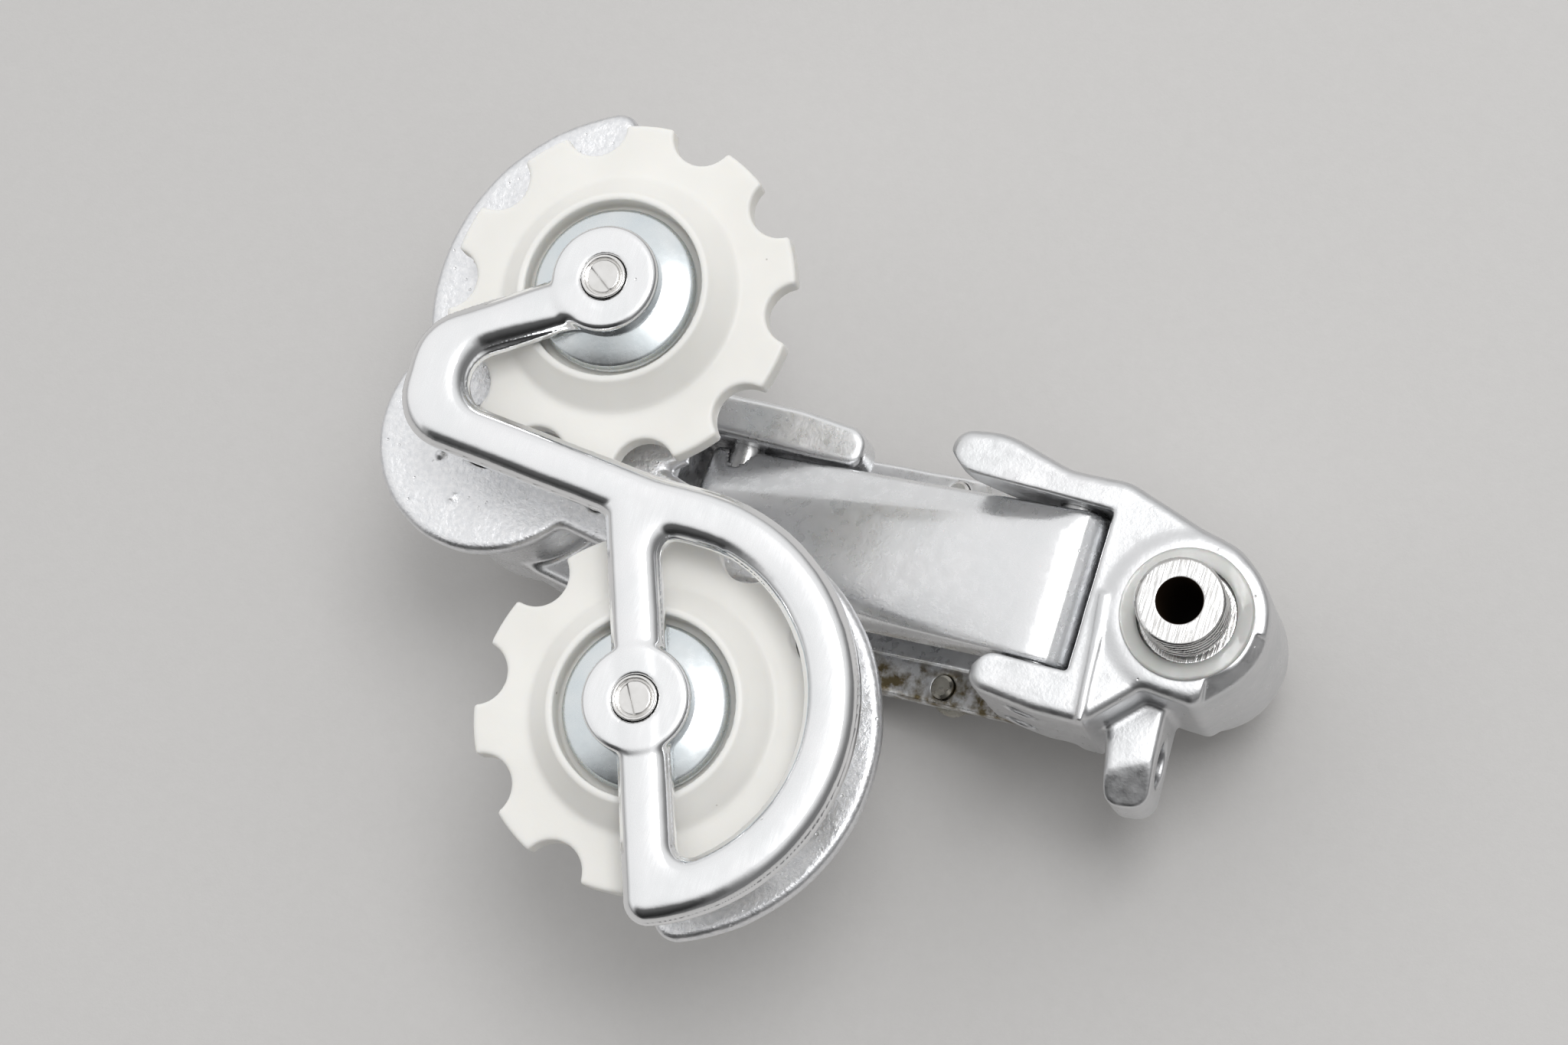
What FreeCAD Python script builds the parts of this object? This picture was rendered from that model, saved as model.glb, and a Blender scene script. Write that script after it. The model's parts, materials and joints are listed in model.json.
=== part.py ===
import FreeCAD, Part
import math
import os
import PartDesign
import Sketcher

# Rear derailleur with an unsprung upper pivot and a sprung cage, built in millimetres.
# Origin: on the mounting bolt's axis, on the inboard face of the mounting body.
# X runs up the parallelogram towards the mounting bolt, Y along the link pins, Z inboard.

DIMENSIONS = {
    # mounting end
    "boss_radius": 9.0,
    "boss_depth": 21.0,
    "fork_depth": 18.6,
    "mount_thread_radius": 5.0,
    "mount_journal_radius": 5.5,
    "mount_hole_radius": 2.5,
    "mount_bolt_end": 7.0,
    "mount_head_radius": 7.5,
    "mount_head_height": 4.2,
    "spring_washer_thick": 1.0,
    "hanger_washer_radius": 7.37,
    "hanger_washer_thick": 1.0,
    "fit_gap": 0.05,
    # parallelogram
    "link_length": 44.0,
    "rest_angle": 15.5,
    "pin_radius": 2.0,
    "pin_length": 25.2,
    "barrel_radius": 4.2,
    "link_width": 17.8,
    "slot_width": 18.6,
    "inner_pin_x": -15.6,
    "inner_pin_z": -4.8,
    "outer_pin_x": -17.0,
    "outer_pin_z": -13.2,
    "plate_width": 27.0,
    "plate_web": 1.5,
    "plate_flange": 2.6,
    "plate_drop": 4.3,
    # lower knuckle and cage pivot
    "pivot_x": -81.0,
    "pivot_y": -0.7,
    "housing_radius": 10.8,
    "housing_top": 2.2,
    "housing_depth": 22.0,
    "pivot_radius": 3.7,
    # cage
    "guide_x": -69.2,
    "guide_y": 17.0,
    "tension_x": -51.2,
    "tension_y": -26.9,
    "outer_plate_z": 2.8,
    "outer_plate_thick": 2.0,
    "inner_plate_z": 15.2,
    "inner_plate_thick": 3.0,
    "eye_radius": 6.05,
    "disc_radius": 13.5,
    "fan_radius": 24.2,
    "loop_outer_radius": 24.1,
    "loop_inner_radius": 18.1,
    "strut_left": 2.7,
    "strut_right": 3.25,
    # pulleys
    "pulley_mid_z": 10.0,
    "pulley_tip_radius": 20.0,
    "notch_place_radius": 20.45,
    "notch_radius": 3.55,
    "tooth_count": 10,
    "tooth_half_width": 1.4,
    "hub_half_width": 4.6,
    "hub_radius": 10.85,
    "shoulder_radius": 13.7,
    "recess_radius": 10.15,
    "cap_radius": 9.28,
    "bush_radius": 4.0,
    "pulley_bolt_radius": 2.49,
    "pulley_bolt_end": 18.4,
    # small fasteners
    "screw_radius": 1.4,
    "screw_head_radius": 2.6,
    "anchor_radius": 2.5,
}

doc = FreeCAD.newDocument("rear_derailleur")
sheet = doc.addObject("Spreadsheet::Sheet", "sizes")
for row, (alias, value) in enumerate(DIMENSIONS.items(), start=1):
    sheet.set(f"A{row}", alias)
    sheet.set(f"B{row}", str(value))
    sheet.setAlias(f"B{row}", alias)
doc.recompute()


def size(alias):
    return sheet.get(alias)


# ---------------------------------------------------------------- helpers

PARTS = []


def new_body(label):
    """An empty PartDesign body whose label names its file."""
    body = doc.addObject("PartDesign::Body", label)
    body.Label = label
    PARTS.append(body)
    return body


def place(body, x="0", y="0", z="0", tilt=None):
    """Bind the body's position to cells; tilt is a rotation about Y."""
    if tilt is not None:
        body.Placement.Rotation = FreeCAD.Rotation(FreeCAD.Vector(0, 1, 0), 0)
        body.setExpression("Placement.Rotation.Angle", tilt)
    for axis, formula in zip("xyz", (x, y, z)):
        body.setExpression(f"Placement.Base.{axis}", formula)


def new_sketch(body, plane, offset=0.0):
    """A sketch on one of the body's own origin planes, moved along its normal."""
    sketch = body.newObject("Sketcher::SketchObject", f"{body.Label}_sketch")
    role = f"{plane}_Plane"
    support = [item for item in body.Origin.OriginFeatures if item.Role == role][0]
    sketch.AttachmentSupport = [(support, "")]
    sketch.MapMode = "FlatFace"
    sketch.AttachmentOffset = FreeCAD.Placement(FreeCAD.Vector(0, 0, offset), FreeCAD.Rotation())
    return sketch


def add_circle(sketch, x, y, alias):
    """A circle whose radius is bound to a cell."""
    centre = FreeCAD.Vector(x, y, 0)
    index = sketch.addGeometry(Part.Circle(centre, FreeCAD.Vector(0, 0, 1), size(alias)), False)
    constraint = sketch.addConstraint(Sketcher.Constraint("Radius", index, size(alias)))
    sketch.setExpression(f"Constraints[{constraint}]", f"sizes.{alias}")


def corner_arc(before, corner, after, radius):
    """Tangent points and middle of the arc that rounds one corner."""
    to_before = (before - corner).normalize()
    to_after = (after - corner).normalize()
    half = to_before.getAngle(to_after) / 2
    reach = radius / math.tan(half)
    inward = (to_before + to_after).normalize()
    middle = corner + inward * (radius / math.sin(half) - radius)
    return corner + to_before * reach, middle, corner + to_after * reach


def add_loop(sketch, corners):
    """A closed outline of (x, y, radius) corners, rounded where the radius isn't 0."""
    points = [FreeCAD.Vector(x, y, 0) for x, y, _ in corners]
    ends = []
    for index, (_, _, radius) in enumerate(corners):
        corner = points[index]
        if radius == 0:
            ends.append((corner, None, corner))
        else:
            after = points[(index + 1) % len(points)]
            ends.append(corner_arc(points[index - 1], corner, after, radius))
    for index, (start, middle, end) in enumerate(ends):
        if middle is not None:
            sketch.addGeometry(Part.Arc(start, middle, end), False)
        following = ends[(index + 1) % len(ends)][0]
        if end.distanceToPoint(following) > 1e-4:
            sketch.addGeometry(Part.LineSegment(end, following), False)


def polar(x, y, radius, degrees):
    angle = math.radians(degrees)
    return FreeCAD.Vector(x + radius * math.cos(angle), y + radius * math.sin(angle), 0)


def add_arc(sketch, x, y, radius, start, end):
    """An arc about (x, y) through the middle angle; returns its two ends."""
    first = polar(x, y, radius, start)
    last = polar(x, y, radius, end)
    sketch.addGeometry(Part.Arc(first, polar(x, y, radius, (start + end) / 2), last), False)
    return first, last


def add_lines(sketch, *points):
    for first, second in zip(points, points[1:]):
        sketch.addGeometry(Part.LineSegment(first, second), False)


def pad(body, sketch, length, midplane=False, reverse=False):
    """A pad whose length is a formula of cells."""
    feature = body.newObject("PartDesign::Pad", f"{body.Label}_pad")
    feature.Profile = sketch
    feature.Midplane = midplane
    feature.Reversed = reverse
    feature.setExpression("Length", length)
    return feature


def pocket_through(body, sketch):
    """A pocket that passes right through the body on both sides of its sketch."""
    feature = body.newObject("PartDesign::Pocket", f"{body.Label}_pocket")
    feature.Profile = sketch
    feature.Midplane = True
    feature.Type = "ThroughAll"
    return feature


def pocket(body, sketch, length, midplane=False, reverse=False):
    feature = body.newObject("PartDesign::Pocket", f"{body.Label}_pocket")
    feature.Profile = sketch
    feature.Midplane = midplane
    feature.Reversed = reverse
    feature.setExpression("Length", length)
    return feature


def turn(body, sketch):
    """A full revolution about the sketch's vertical axis."""
    feature = body.newObject("PartDesign::Revolution", f"{body.Label}_turned")
    feature.Profile = sketch
    feature.ReferenceAxis = (sketch, ["V_Axis"])
    feature.Angle = 360
    return feature


def upright_near(*places):
    """Picks the upright edges within half a millimetre of the given points."""
    def wanted(edge):
        box = edge.BoundBox
        if box.ZLength < 0.5 or max(box.XLength, box.YLength) > 1e-3:
            return False
        return any(math.dist((box.XMin, box.YMin), place) < 0.5 for place in places)
    return wanted


def round_edges(body, base, radius, wanted):
    """Fillet the edges of the base feature that the test picks."""
    doc.recompute()
    names = [f"Edge{i}" for i, edge in enumerate(base.Shape.Edges, start=1) if wanted(edge)]
    fillet = body.newObject("PartDesign::Fillet", f"{body.Label}_fillet")
    fillet.Base = (base, names)
    fillet.Radius = radius
    return fillet


# ---------------------------------------------------------------- places worked out once

REST = math.radians(size("rest_angle"))
DROP_X = -size("link_length") * math.cos(REST)
DROP_Z = -size("link_length") * math.sin(REST)
UPPER_INNER = (size("inner_pin_x"), size("inner_pin_z"))
UPPER_OUTER = (size("outer_pin_x"), size("outer_pin_z"))
LOWER_INNER = (UPPER_INNER[0] + DROP_X, UPPER_INNER[1] + DROP_Z)
LOWER_OUTER = (UPPER_OUTER[0] + DROP_X, UPPER_OUTER[1] + DROP_Z)
PIVOT = (size("pivot_x"), size("pivot_y"))
GUIDE = (size("guide_x"), size("guide_y"))
TENSION = (size("tension_x"), size("tension_y"))
LINK_TILT = "-sizes.rest_angle"
DROP_X_CELL = "sizes.link_length * cos(sizes.rest_angle * 1 deg)"
DROP_Z_CELL = "sizes.link_length * sin(sizes.rest_angle * 1 deg)"
STRUT_ANGLE = -69.2
STOP_PIN = (-66.5, -4.5)
# Places on the outer link, measured from its upper pin before the tilt.
SCREW_PLACES = {"low_limit_screw": (-18.6, 11.4), "high_limit_screw": (-13.2, -11.4)}
ANCHOR_PLACE = (-34.0, -16.3)


# ---------------------------------------------------------------- mounting bolt and washers

def mounting_bolt():
    body = new_body("mounting_bolt")
    sketch = new_sketch(body, "XZ")
    thread = size("mount_thread_radius")
    journal = size("mount_journal_radius")
    shank = -size("boss_depth") - size("spring_washer_thick")
    head = shank - size("mount_head_height")
    end = size("mount_bolt_end")
    relief = size("hanger_washer_thick") + 0.2
    add_loop(sketch, [
        (size("mount_hole_radius"), end, 0),
        (thread - 0.4, end, 0),
        (thread, end - 0.5, 0),
        (thread, relief, 0),
        (thread - 0.6, relief, 0),
        (thread - 0.6, 0, 0),
        (journal, 0, 0),
        (journal, shank, 0),
        (size("mount_head_radius"), shank, 0),
        (size("mount_head_radius"), head, 1.0),
        (size("mount_hole_radius"), head, 0),
    ])
    turn(body, sketch)
    socket = new_sketch(body, "XY", head)
    add_loop(socket, [(*polar(0, 0, 3.46, 60 * side)[:2], 0) for side in range(6)])
    pocket(body, socket, "3.2", reverse=True)


def ring(label, outer, inner_radius, bottom, thickness):
    body = new_body(label)
    sketch = new_sketch(body, "XY")
    add_circle(sketch, 0, 0, outer)
    sketch.addGeometry(Part.Circle(FreeCAD.Vector(), FreeCAD.Vector(0, 0, 1), inner_radius), False)
    pad(body, sketch, thickness)
    place(body, z=bottom)


def mounting_washers():
    bore = size("mount_journal_radius") + size("fit_gap")
    ring("hanger_washer", "hanger_washer_radius", bore, "0", "sizes.hanger_washer_thick")
    seat = "-sizes.boss_depth - sizes.spring_washer_thick"
    ring("bolt_spring_washer", "hanger_washer_radius", bore, seat, "sizes.spring_washer_thick")


# ---------------------------------------------------------------- upper knuckle

def mounting_body():
    body = new_body("mounting_body")
    half_slot = size("slot_width") / 2
    fork = new_sketch(body, "XY")
    add_loop(fork, [
        (-11.0, half_slot, 0.8),
        (-31.0, half_slot + 0.3, 2.2),
        (-30.6, 14.2, 2.4),
        (-25.0, 15.0, 8.0),
        (-17.0, 12.7, 6.0),
        (-10.0, 12.9, 6.0),
        (4.4, 7.9, 3.0),
        (6.0, -6.5, 3.0),
        (-3.0, -9.2, 3.0),
        (-8.2, -14.3, 1.0),
        (-13.5, -14.6, 8.0),
        (-21.6, -13.6, 2.0),
        (-21.6, -half_slot, 1.2),
        (-11.0, -half_slot, 0.8),
    ])
    pad(body, fork, "sizes.fork_depth", reverse=True)
    boss = new_sketch(body, "XY")
    add_circle(boss, 0, 0, "boss_radius")
    pad(body, boss, "sizes.boss_depth", reverse=True)
    arm = new_sketch(body, "XY", -6.5)
    add_loop(arm, [
        (-7.9, -6.0, 0),
        (-4.6, -21.3, 1.6),
        (0.1, -20.6, 2.2),
        (-0.6, -6.0, 0),
    ])
    pad(body, arm, "10", reverse=True)
    side = new_sketch(body, "XZ")
    add_loop(side, [
        (-33.0, -0.2, 0),
        (-27.6, -4.4, 4.0),
        (-22.4, -9.2, 4.0),
        (-21.2, -15.3, 2.6),
        (-17.4, -17.2, 1.5),
        (-11.3, -15.5, 0.8),
        (-10.4, -19.4, 0),
        (-10.4, -24.0, 0),
        (-33.0, -24.0, 0),
    ])
    pocket_through(body, side)
    bore = new_sketch(body, "XY")
    add_ring_hole(bore, 0, 0, size("mount_journal_radius") + size("fit_gap"))
    pocket_through(body, bore)
    pins = new_sketch(body, "XZ")
    add_circle(pins, *UPPER_INNER, "pin_radius")
    add_circle(pins, *UPPER_OUTER, "pin_radius")
    pocket_through(body, pins)
    housing_stop = new_sketch(body, "YZ", 1.0)
    add_ring_hole(housing_stop, -15.0, -11.5, 2.6)
    pocket(body, housing_stop, "5.4")
    cable = new_sketch(body, "YZ")
    add_ring_hole(cable, -15.0, -11.5, 0.9)
    pocket(body, cable, "20")


def add_ring_hole(sketch, x, y, radius):
    sketch.addGeometry(Part.Circle(FreeCAD.Vector(x, y, 0), FreeCAD.Vector(0, 0, 1), radius), False)


def pin(label, x, z):
    body = new_body(label)
    sketch = new_sketch(body, "XZ")
    add_circle(sketch, 0, 0, "pin_radius")
    pad(body, sketch, "sizes.pin_length", midplane=True)
    place(body, x, "0", z)


def link_pins():
    pin("upper_inner_pin", "sizes.inner_pin_x", "sizes.inner_pin_z")
    pin("upper_outer_pin", "sizes.outer_pin_x", "sizes.outer_pin_z")
    low_x = f" - {DROP_X_CELL}"
    low_z = f" - {DROP_Z_CELL}"
    pin("lower_inner_pin", f"sizes.inner_pin_x{low_x}", f"sizes.inner_pin_z{low_z}")
    pin("lower_outer_pin", f"sizes.outer_pin_x{low_x}", f"sizes.outer_pin_z{low_z}")


# ---------------------------------------------------------------- links

def inner_link():
    """Cast channel, made along -X from its upper pin, then tilted to its rest angle."""
    body = new_body("inner_link")
    length = size("link_length")
    radius = size("barrel_radius")
    side = new_sketch(body, "XZ")
    add_loop(side, [
        (radius, radius, radius - 0.01),
        (radius, -radius, radius - 0.01),
        (-1.0, -radius, 3.1),
        (-5.0, -1.6, 1.0),
        (5.0 - length, -1.6, 1.0),
        (1.0 - length, -radius, 3.1),
        (-length - radius, -radius, radius - 0.01),
        (-length - radius, radius, radius - 0.01),
    ])
    outer = pad(body, side, "sizes.link_width", midplane=True)
    round_edges(body, outer, 2.0, long_top_edge)
    hollow = new_sketch(body, "XZ")
    add_loop(hollow, [
        (-5.4, 1.9, 1.0),
        (-5.4, -radius - 1, 0),
        (5.4 - length, -radius - 1, 0),
        (5.4 - length, 1.9, 1.0),
    ])
    pocket(body, hollow, "sizes.link_width - 3.8", midplane=True)
    bores = new_sketch(body, "XZ")
    for x in (0, -length):
        add_ring_hole(bores, x, 0, size("pin_radius") + size("fit_gap"))
    pocket_through(body, bores)
    place(body, "sizes.inner_pin_x", "0", "sizes.inner_pin_z", LINK_TILT)


def long_top_edge(edge):
    """The two long edges along the top of the link."""
    box = edge.BoundBox
    return box.YLength < 1e-3 and box.XLength > 20 and box.ZMin > 1


def outer_link():
    """Wide cover plate with an ear at each corner, made along -X from its upper pin."""
    body = new_body("outer_link")
    length = size("link_length")
    drop = size("plate_drop")
    flange = size("plate_flange")
    half_plate = size("plate_width") / 2
    plate = new_sketch(body, "XY", -drop)
    add_loop(plate, [
        (3.0, half_plate - 3, 1.0),
        (0.4, half_plate, 2.0),
        (-length - 0.4, half_plate, 2.0),
        (-length - 3.0, half_plate - 3, 1.0),
        (-length - 3.0, 3 - half_plate, 1.0),
        (-length - 0.4, -half_plate, 2.0),
        (-40.5, -half_plate, 0),
        (-38.5, -20.0, 3.0),
        (-29.5, -20.0, 3.0),
        (-27.5, -half_plate, 0),
        (0.4, -half_plate, 2.0),
        (3.0, 3 - half_plate, 1.0),
    ])
    pad(body, plate, "sizes.plate_flange", reverse=True)
    recess = new_sketch(body, "XY", -drop)
    add_loop(recess, [
        (-5.0, 8.9, 1.5),
        (5.0 - length, 8.9, 1.5),
        (5.0 - length, -8.9, 1.5),
        (-5.0, -8.9, 1.5),
    ])
    pocket(body, recess, "sizes.plate_flange - sizes.plate_web")
    ears = new_sketch(body, "XZ")
    foot = -drop - flange / 2
    for x in (0, -length):
        add_loop(ears, [
            (x - 3.0, foot, 0),
            (x - 4.0, -1.0, 2.0),
            (x - 4.0, 4.0, 3.99),
            (x + 4.0, 4.0, 3.99),
            (x + 4.0, -1.0, 2.0),
            (x + 3.0, foot, 0),
        ])
    pad(body, ears, "sizes.link_width", midplane=True)
    gap = new_sketch(body, "XZ")
    for x in (0, -length):
        add_loop(gap, [
            (x - 4.6, -drop, 0),
            (x - 4.6, 4.6, 0),
            (x + 4.6, 4.6, 0),
            (x + 4.6, -drop, 0),
        ])
    pocket(body, gap, "sizes.link_width - 6.6", midplane=True)
    bores = new_sketch(body, "XZ")
    for x in (0, -length):
        add_ring_hole(bores, x, 0, size("pin_radius") + size("fit_gap"))
    pocket_through(body, bores)
    threads = new_sketch(body, "XY")
    for x, y in SCREW_PLACES.values():
        add_ring_hole(threads, x, y, size("screw_radius") + size("fit_gap"))
    add_ring_hole(threads, *ANCHOR_PLACE, size("anchor_radius"))
    pocket_through(body, threads)
    place(body, "sizes.outer_pin_x", "0", "sizes.outer_pin_z", LINK_TILT)


def on_outer_link(body, x, y, z):
    """Place a piece at a point of the outer link's own frame."""
    turned = f"sizes.outer_pin_x + ({x}) * cos(sizes.rest_angle * 1 deg)"
    lifted = f"sizes.outer_pin_z + ({x}) * sin(sizes.rest_angle * 1 deg)"
    turned += f" - ({z}) * sin(sizes.rest_angle * 1 deg)"
    lifted += f" + ({z}) * cos(sizes.rest_angle * 1 deg)"
    place(body, turned, str(y), lifted, LINK_TILT)


def limit_screws():
    """Two slotted screws with their heads outboard and their tips in the flanges."""
    shank = size("plate_flange") + 0.6
    for label, (x, y) in SCREW_PLACES.items():
        body = new_body(label)
        profile = new_sketch(body, "XZ")
        radius = size("screw_radius")
        head = size("screw_head_radius")
        add_loop(profile, [
            (0, 0.6, 0),
            (radius - 0.3, 0.6, 0),
            (radius, 0.3, 0),
            (radius, 0.6 - shank, 0),
            (head, 0.6 - shank, 0),
            (head, -0.9 - shank, 0.5),
            (0, -0.9 - shank, 0),
        ])
        turn(body, profile)
        slot = new_sketch(body, "XZ")
        add_loop(slot, [
            (-3.0, -0.3 - shank, 0),
            (3.0, -0.3 - shank, 0),
            (3.0, -2.0 - shank, 0),
            (-3.0, -2.0 - shank, 0),
        ])
        pocket(body, slot, "0.7", midplane=True)
        on_outer_link(body, x, y, "-sizes.plate_drop")


def cable_anchor():
    """Hexagon-headed clamp bolt with its washer, on the outer link's lug."""
    x, y = ANCHOR_PLACE
    washer = new_body("cable_clamp_washer")
    sketch = new_sketch(washer, "XY")
    add_ring_hole(sketch, 0, 0, 4.2)
    add_ring_hole(sketch, 0, 0, size("anchor_radius"))
    pad(washer, sketch, "1.2")
    on_outer_link(washer, x, y, "-sizes.plate_drop")
    bolt = new_body("cable_anchor_bolt")
    head = new_sketch(bolt, "XY", 1.2)
    add_loop(head, [(*polar(0, 0, 4.6, 60 * side + 30)[:2], 0) for side in range(6)])
    pad(bolt, head, "3.0")
    shank = new_sketch(bolt, "XY", 1.3)
    add_circle(shank, 0, 0, "anchor_radius")
    pad(bolt, shank, "sizes.plate_flange + 2.4", reverse=True)
    on_outer_link(bolt, x, y, "-sizes.plate_drop")


def spring(label, wire, mean, pitch, turns, placement):
    """A close-wound torsion spring, swept along a helix."""
    helix = Part.makeHelix(pitch, pitch * turns, mean)
    section = Part.Circle(FreeCAD.Vector(mean, 0, 0), FreeCAD.Vector(0, 1, 0), wire / 2)
    profile = Part.Wire([section.toShape()])
    shape = Part.Wire(helix.Edges).makePipeShell([profile], True, True)
    item = doc.addObject("Part::Feature", label)
    item.Label = label
    item.Shape = shape
    item.Placement = placement
    PARTS.append(item)


def springs():
    lying = FreeCAD.Rotation(FreeCAD.Vector(1, 0, 0), 90)
    half = 4.8
    place_return = FreeCAD.Placement(FreeCAD.Vector(UPPER_OUTER[0], half, UPPER_OUTER[1]), lying)
    spring("return_spring", 1.1, 3.1, 1.35, 7, place_return)
    bottom = FreeCAD.Vector(*PIVOT, -17.2)
    spring("cage_spring", 1.8, 6.4, 2.6, 6, FreeCAD.Placement(bottom, FreeCAD.Rotation()))


# ---------------------------------------------------------------- lower knuckle

def lower_knuckle():
    body = new_body("lower_knuckle")
    half_slot = size("slot_width") / 2
    crotch = LOWER_OUTER[0] - 4.6
    top = LOWER_INNER[1] + 5.0
    arms = new_sketch(body, "XY", top)
    add_loop(arms, [
        (crotch, half_slot, 0.8),
        (-43.2, half_slot, 1.6),
        (-43.4, 13.8, 2.4),
        (-52.0, 14.5, 12.0),
        (-64.0, 14.2, 8.0),
        (-80.0, 9.8, 4.0),
        (-80.0, -11.4, 4.0),
        (-64.0, -14.4, 8.0),
        (-52.6, -14.0, 2.2),
        (-52.6, -half_slot, 1.2),
        (crotch, -half_slot, 0.8),
    ])
    pad(body, arms, "18.6", reverse=True)
    under = new_sketch(body, "XZ")
    x, z = LOWER_OUTER
    add_loop(under, [
        (-42.0, z + 7.6, 0),
        (x + 9.0, z + 3.6, 4.0),
        (x + 3.9, z - 2.4, 3.0),
        (x - 0.4, z - 4.0, 2.0),
        (x - 6.4, z - 0.1, 3.0),
        (x - 12.4, z + 3.4, 3.0),
        (x - 24.0, z + 3.4, 0),
        (x - 24.0, z - 12.0, 0),
        (-42.0, z - 12.0, 0),
    ])
    pocket_through(body, under)
    housing = new_sketch(body, "XY", size("housing_top"))
    add_circle(housing, *PIVOT, "housing_radius")
    pad(body, housing, "sizes.housing_depth + sizes.housing_top", reverse=True)
    lug = new_sketch(body, "XY", size("housing_top"))
    add_loop(lug, [
        (-72.0, -2.4, 0),
        (-64.8, -2.4, 0.8),
        (-64.8, 2.4, 0.8),
        (-72.0, 2.4, 0),
    ])
    pad(body, lug, "14", reverse=True)
    cavity = new_sketch(body, "XY", size("housing_top"))
    add_ring_hole(cavity, *PIVOT, 8.2)
    pocket(body, cavity, "20.6")
    bore = new_sketch(body, "XY")
    add_ring_hole(bore, *PIVOT, size("pivot_radius") + size("fit_gap"))
    pocket_through(body, bore)
    pins = new_sketch(body, "XZ")
    add_circle(pins, *LOWER_OUTER, "pin_radius")
    add_circle(pins, *LOWER_INNER, "pin_radius")
    pocket_through(body, pins)


# ---------------------------------------------------------------- cage

def loop_outline(sketch, radius):
    """The round side of the D loop, closed by a chord along the strut's outer edge."""
    half_chord = math.degrees(math.acos(size("strut_left") / radius))
    middle = STRUT_ANGLE + 90
    reach = 180 - half_chord
    first, last = add_arc(sketch, *TENSION, radius, middle - reach, middle + reach)
    add_lines(sketch, last, first)


def chord_end(radius, side, offset):
    """Where a circle about the tension pulley meets a line along the strut."""
    across = STRUT_ANGLE + 90
    spread = math.degrees(math.acos(offset / radius))
    point = polar(*TENSION, radius, across + side * spread)
    return point.x, point.y


def loop_window(sketch):
    """The D-shaped opening between the strut and the loop."""
    radius = size("loop_inner_radius")
    half_chord = math.degrees(math.acos(size("strut_right") / radius))
    middle = STRUT_ANGLE + 90
    first, last = add_arc(sketch, *TENSION, radius, middle - half_chord, middle + half_chord)
    add_lines(sketch, last, first)


def inner_cage_plate():
    """S-shaped arm with a D loop about the tension pulley."""
    body = new_body("inner_cage_plate")
    thickness = "sizes.inner_plate_thick"
    loop = new_sketch(body, "XY")
    loop_outline(loop, size("loop_outer_radius"))
    pad(body, loop, thickness)
    window = new_sketch(body, "XY")
    loop_window(window)
    cut = pocket_through(body, window)
    foot = chord_end(size("loop_outer_radius"), -1, -size("strut_left"))
    round_edges(body, cut, 2.6, upright_near(foot))
    arm = new_sketch(body, "XY")
    add_loop(arm, [
        (GUIDE[0] - 3.0, GUIDE[1] + 0.6, 0),
        (-88.5, 7.4, 7.0),
        (-88.0, -5.1, 6.4),
        (-58.0, -8.5, 0),
        (-47.0, -8.9, 0),
        (-46.0, -4.2, 0),
        (-52.8, -3.2, 0),
        (-88.0, 0.8, 3.4),
        (-72.4, 10.3, 0.8),
        (GUIDE[0] + 3.0, GUIDE[1] - 4.0, 0),
    ])
    pad(body, arm, thickness)
    eyes = new_sketch(body, "XY")
    add_circle(eyes, *GUIDE, "eye_radius")
    add_circle(eyes, *TENSION, "eye_radius")
    pad(body, eyes, thickness)
    bores = new_sketch(body, "XY")
    add_ring_hole(bores, *GUIDE, size("pulley_bolt_radius"))
    add_ring_hole(bores, *TENSION, size("pulley_bolt_radius"))
    drilled = pocket_through(body, bores)
    window = size("loop_inner_radius"), size("strut_right")
    window_ends = [chord_end(window[0], side, window[1]) for side in (1, -1)]
    round_edges(body, drilled, 2.2, upright_near(*window_ends))
    place(body, z="sizes.inner_plate_z")


def outer_cage_plate():
    """Round pivot disc, a fan behind the guide pulley and a D loop like the inner plate's."""
    body = new_body("outer_cage_plate")
    thickness = "sizes.outer_plate_thick"
    loop = new_sketch(body, "XY")
    loop_outline(loop, size("loop_outer_radius") - 0.1)
    pad(body, loop, thickness)
    window = new_sketch(body, "XY")
    loop_window(window)
    cut = pocket_through(body, window)
    foot = chord_end(size("loop_outer_radius") - 0.1, -1, -size("strut_left"))
    round_edges(body, cut, 2.6, upright_near(foot))
    fan = new_sketch(body, "XY")
    start = 104
    end = 188
    first, last = add_arc(fan, *GUIDE, size("fan_radius"), start, end)
    corners = [(-88.0, -2.0), (-66.0, -4.0), (-58.0, 2.0), (-62.6, 14.0), (-62.6, 21.0)]
    add_lines(fan, last, *[FreeCAD.Vector(x, y, 0) for x, y in corners], first)
    pad(body, fan, thickness)
    disc = new_sketch(body, "XY")
    add_circle(disc, *PIVOT, "disc_radius")
    pad(body, disc, thickness)
    bar = new_sketch(body, "XY")
    add_loop(bar, [
        (-74.0, -8.0, 0),
        (-56.0, -11.2, 0),
        (-44.0, -9.0, 0),
        (-44.0, -4.4, 0),
        (-50.0, -2.6, 0),
        (-64.6, 1.9, 0),
        (-74.0, 4.0, 0),
    ])
    pad(body, bar, thickness)
    eye = new_sketch(body, "XY")
    add_circle(eye, *TENSION, "eye_radius")
    pad(body, eye, thickness)
    bores = new_sketch(body, "XY")
    for centre in (GUIDE, TENSION):
        add_ring_hole(bores, *centre, size("pulley_bolt_radius"))
    add_ring_hole(bores, *PIVOT, size("pivot_radius"))
    add_ring_hole(bores, *STOP_PIN, 1.6)
    drilled = pocket_through(body, bores)
    tip = polar(*GUIDE, size("fan_radius"), start)
    round_edges(body, drilled, 4.0, upright_near((tip.x, tip.y)))
    place(body, z="sizes.outer_plate_z")


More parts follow.
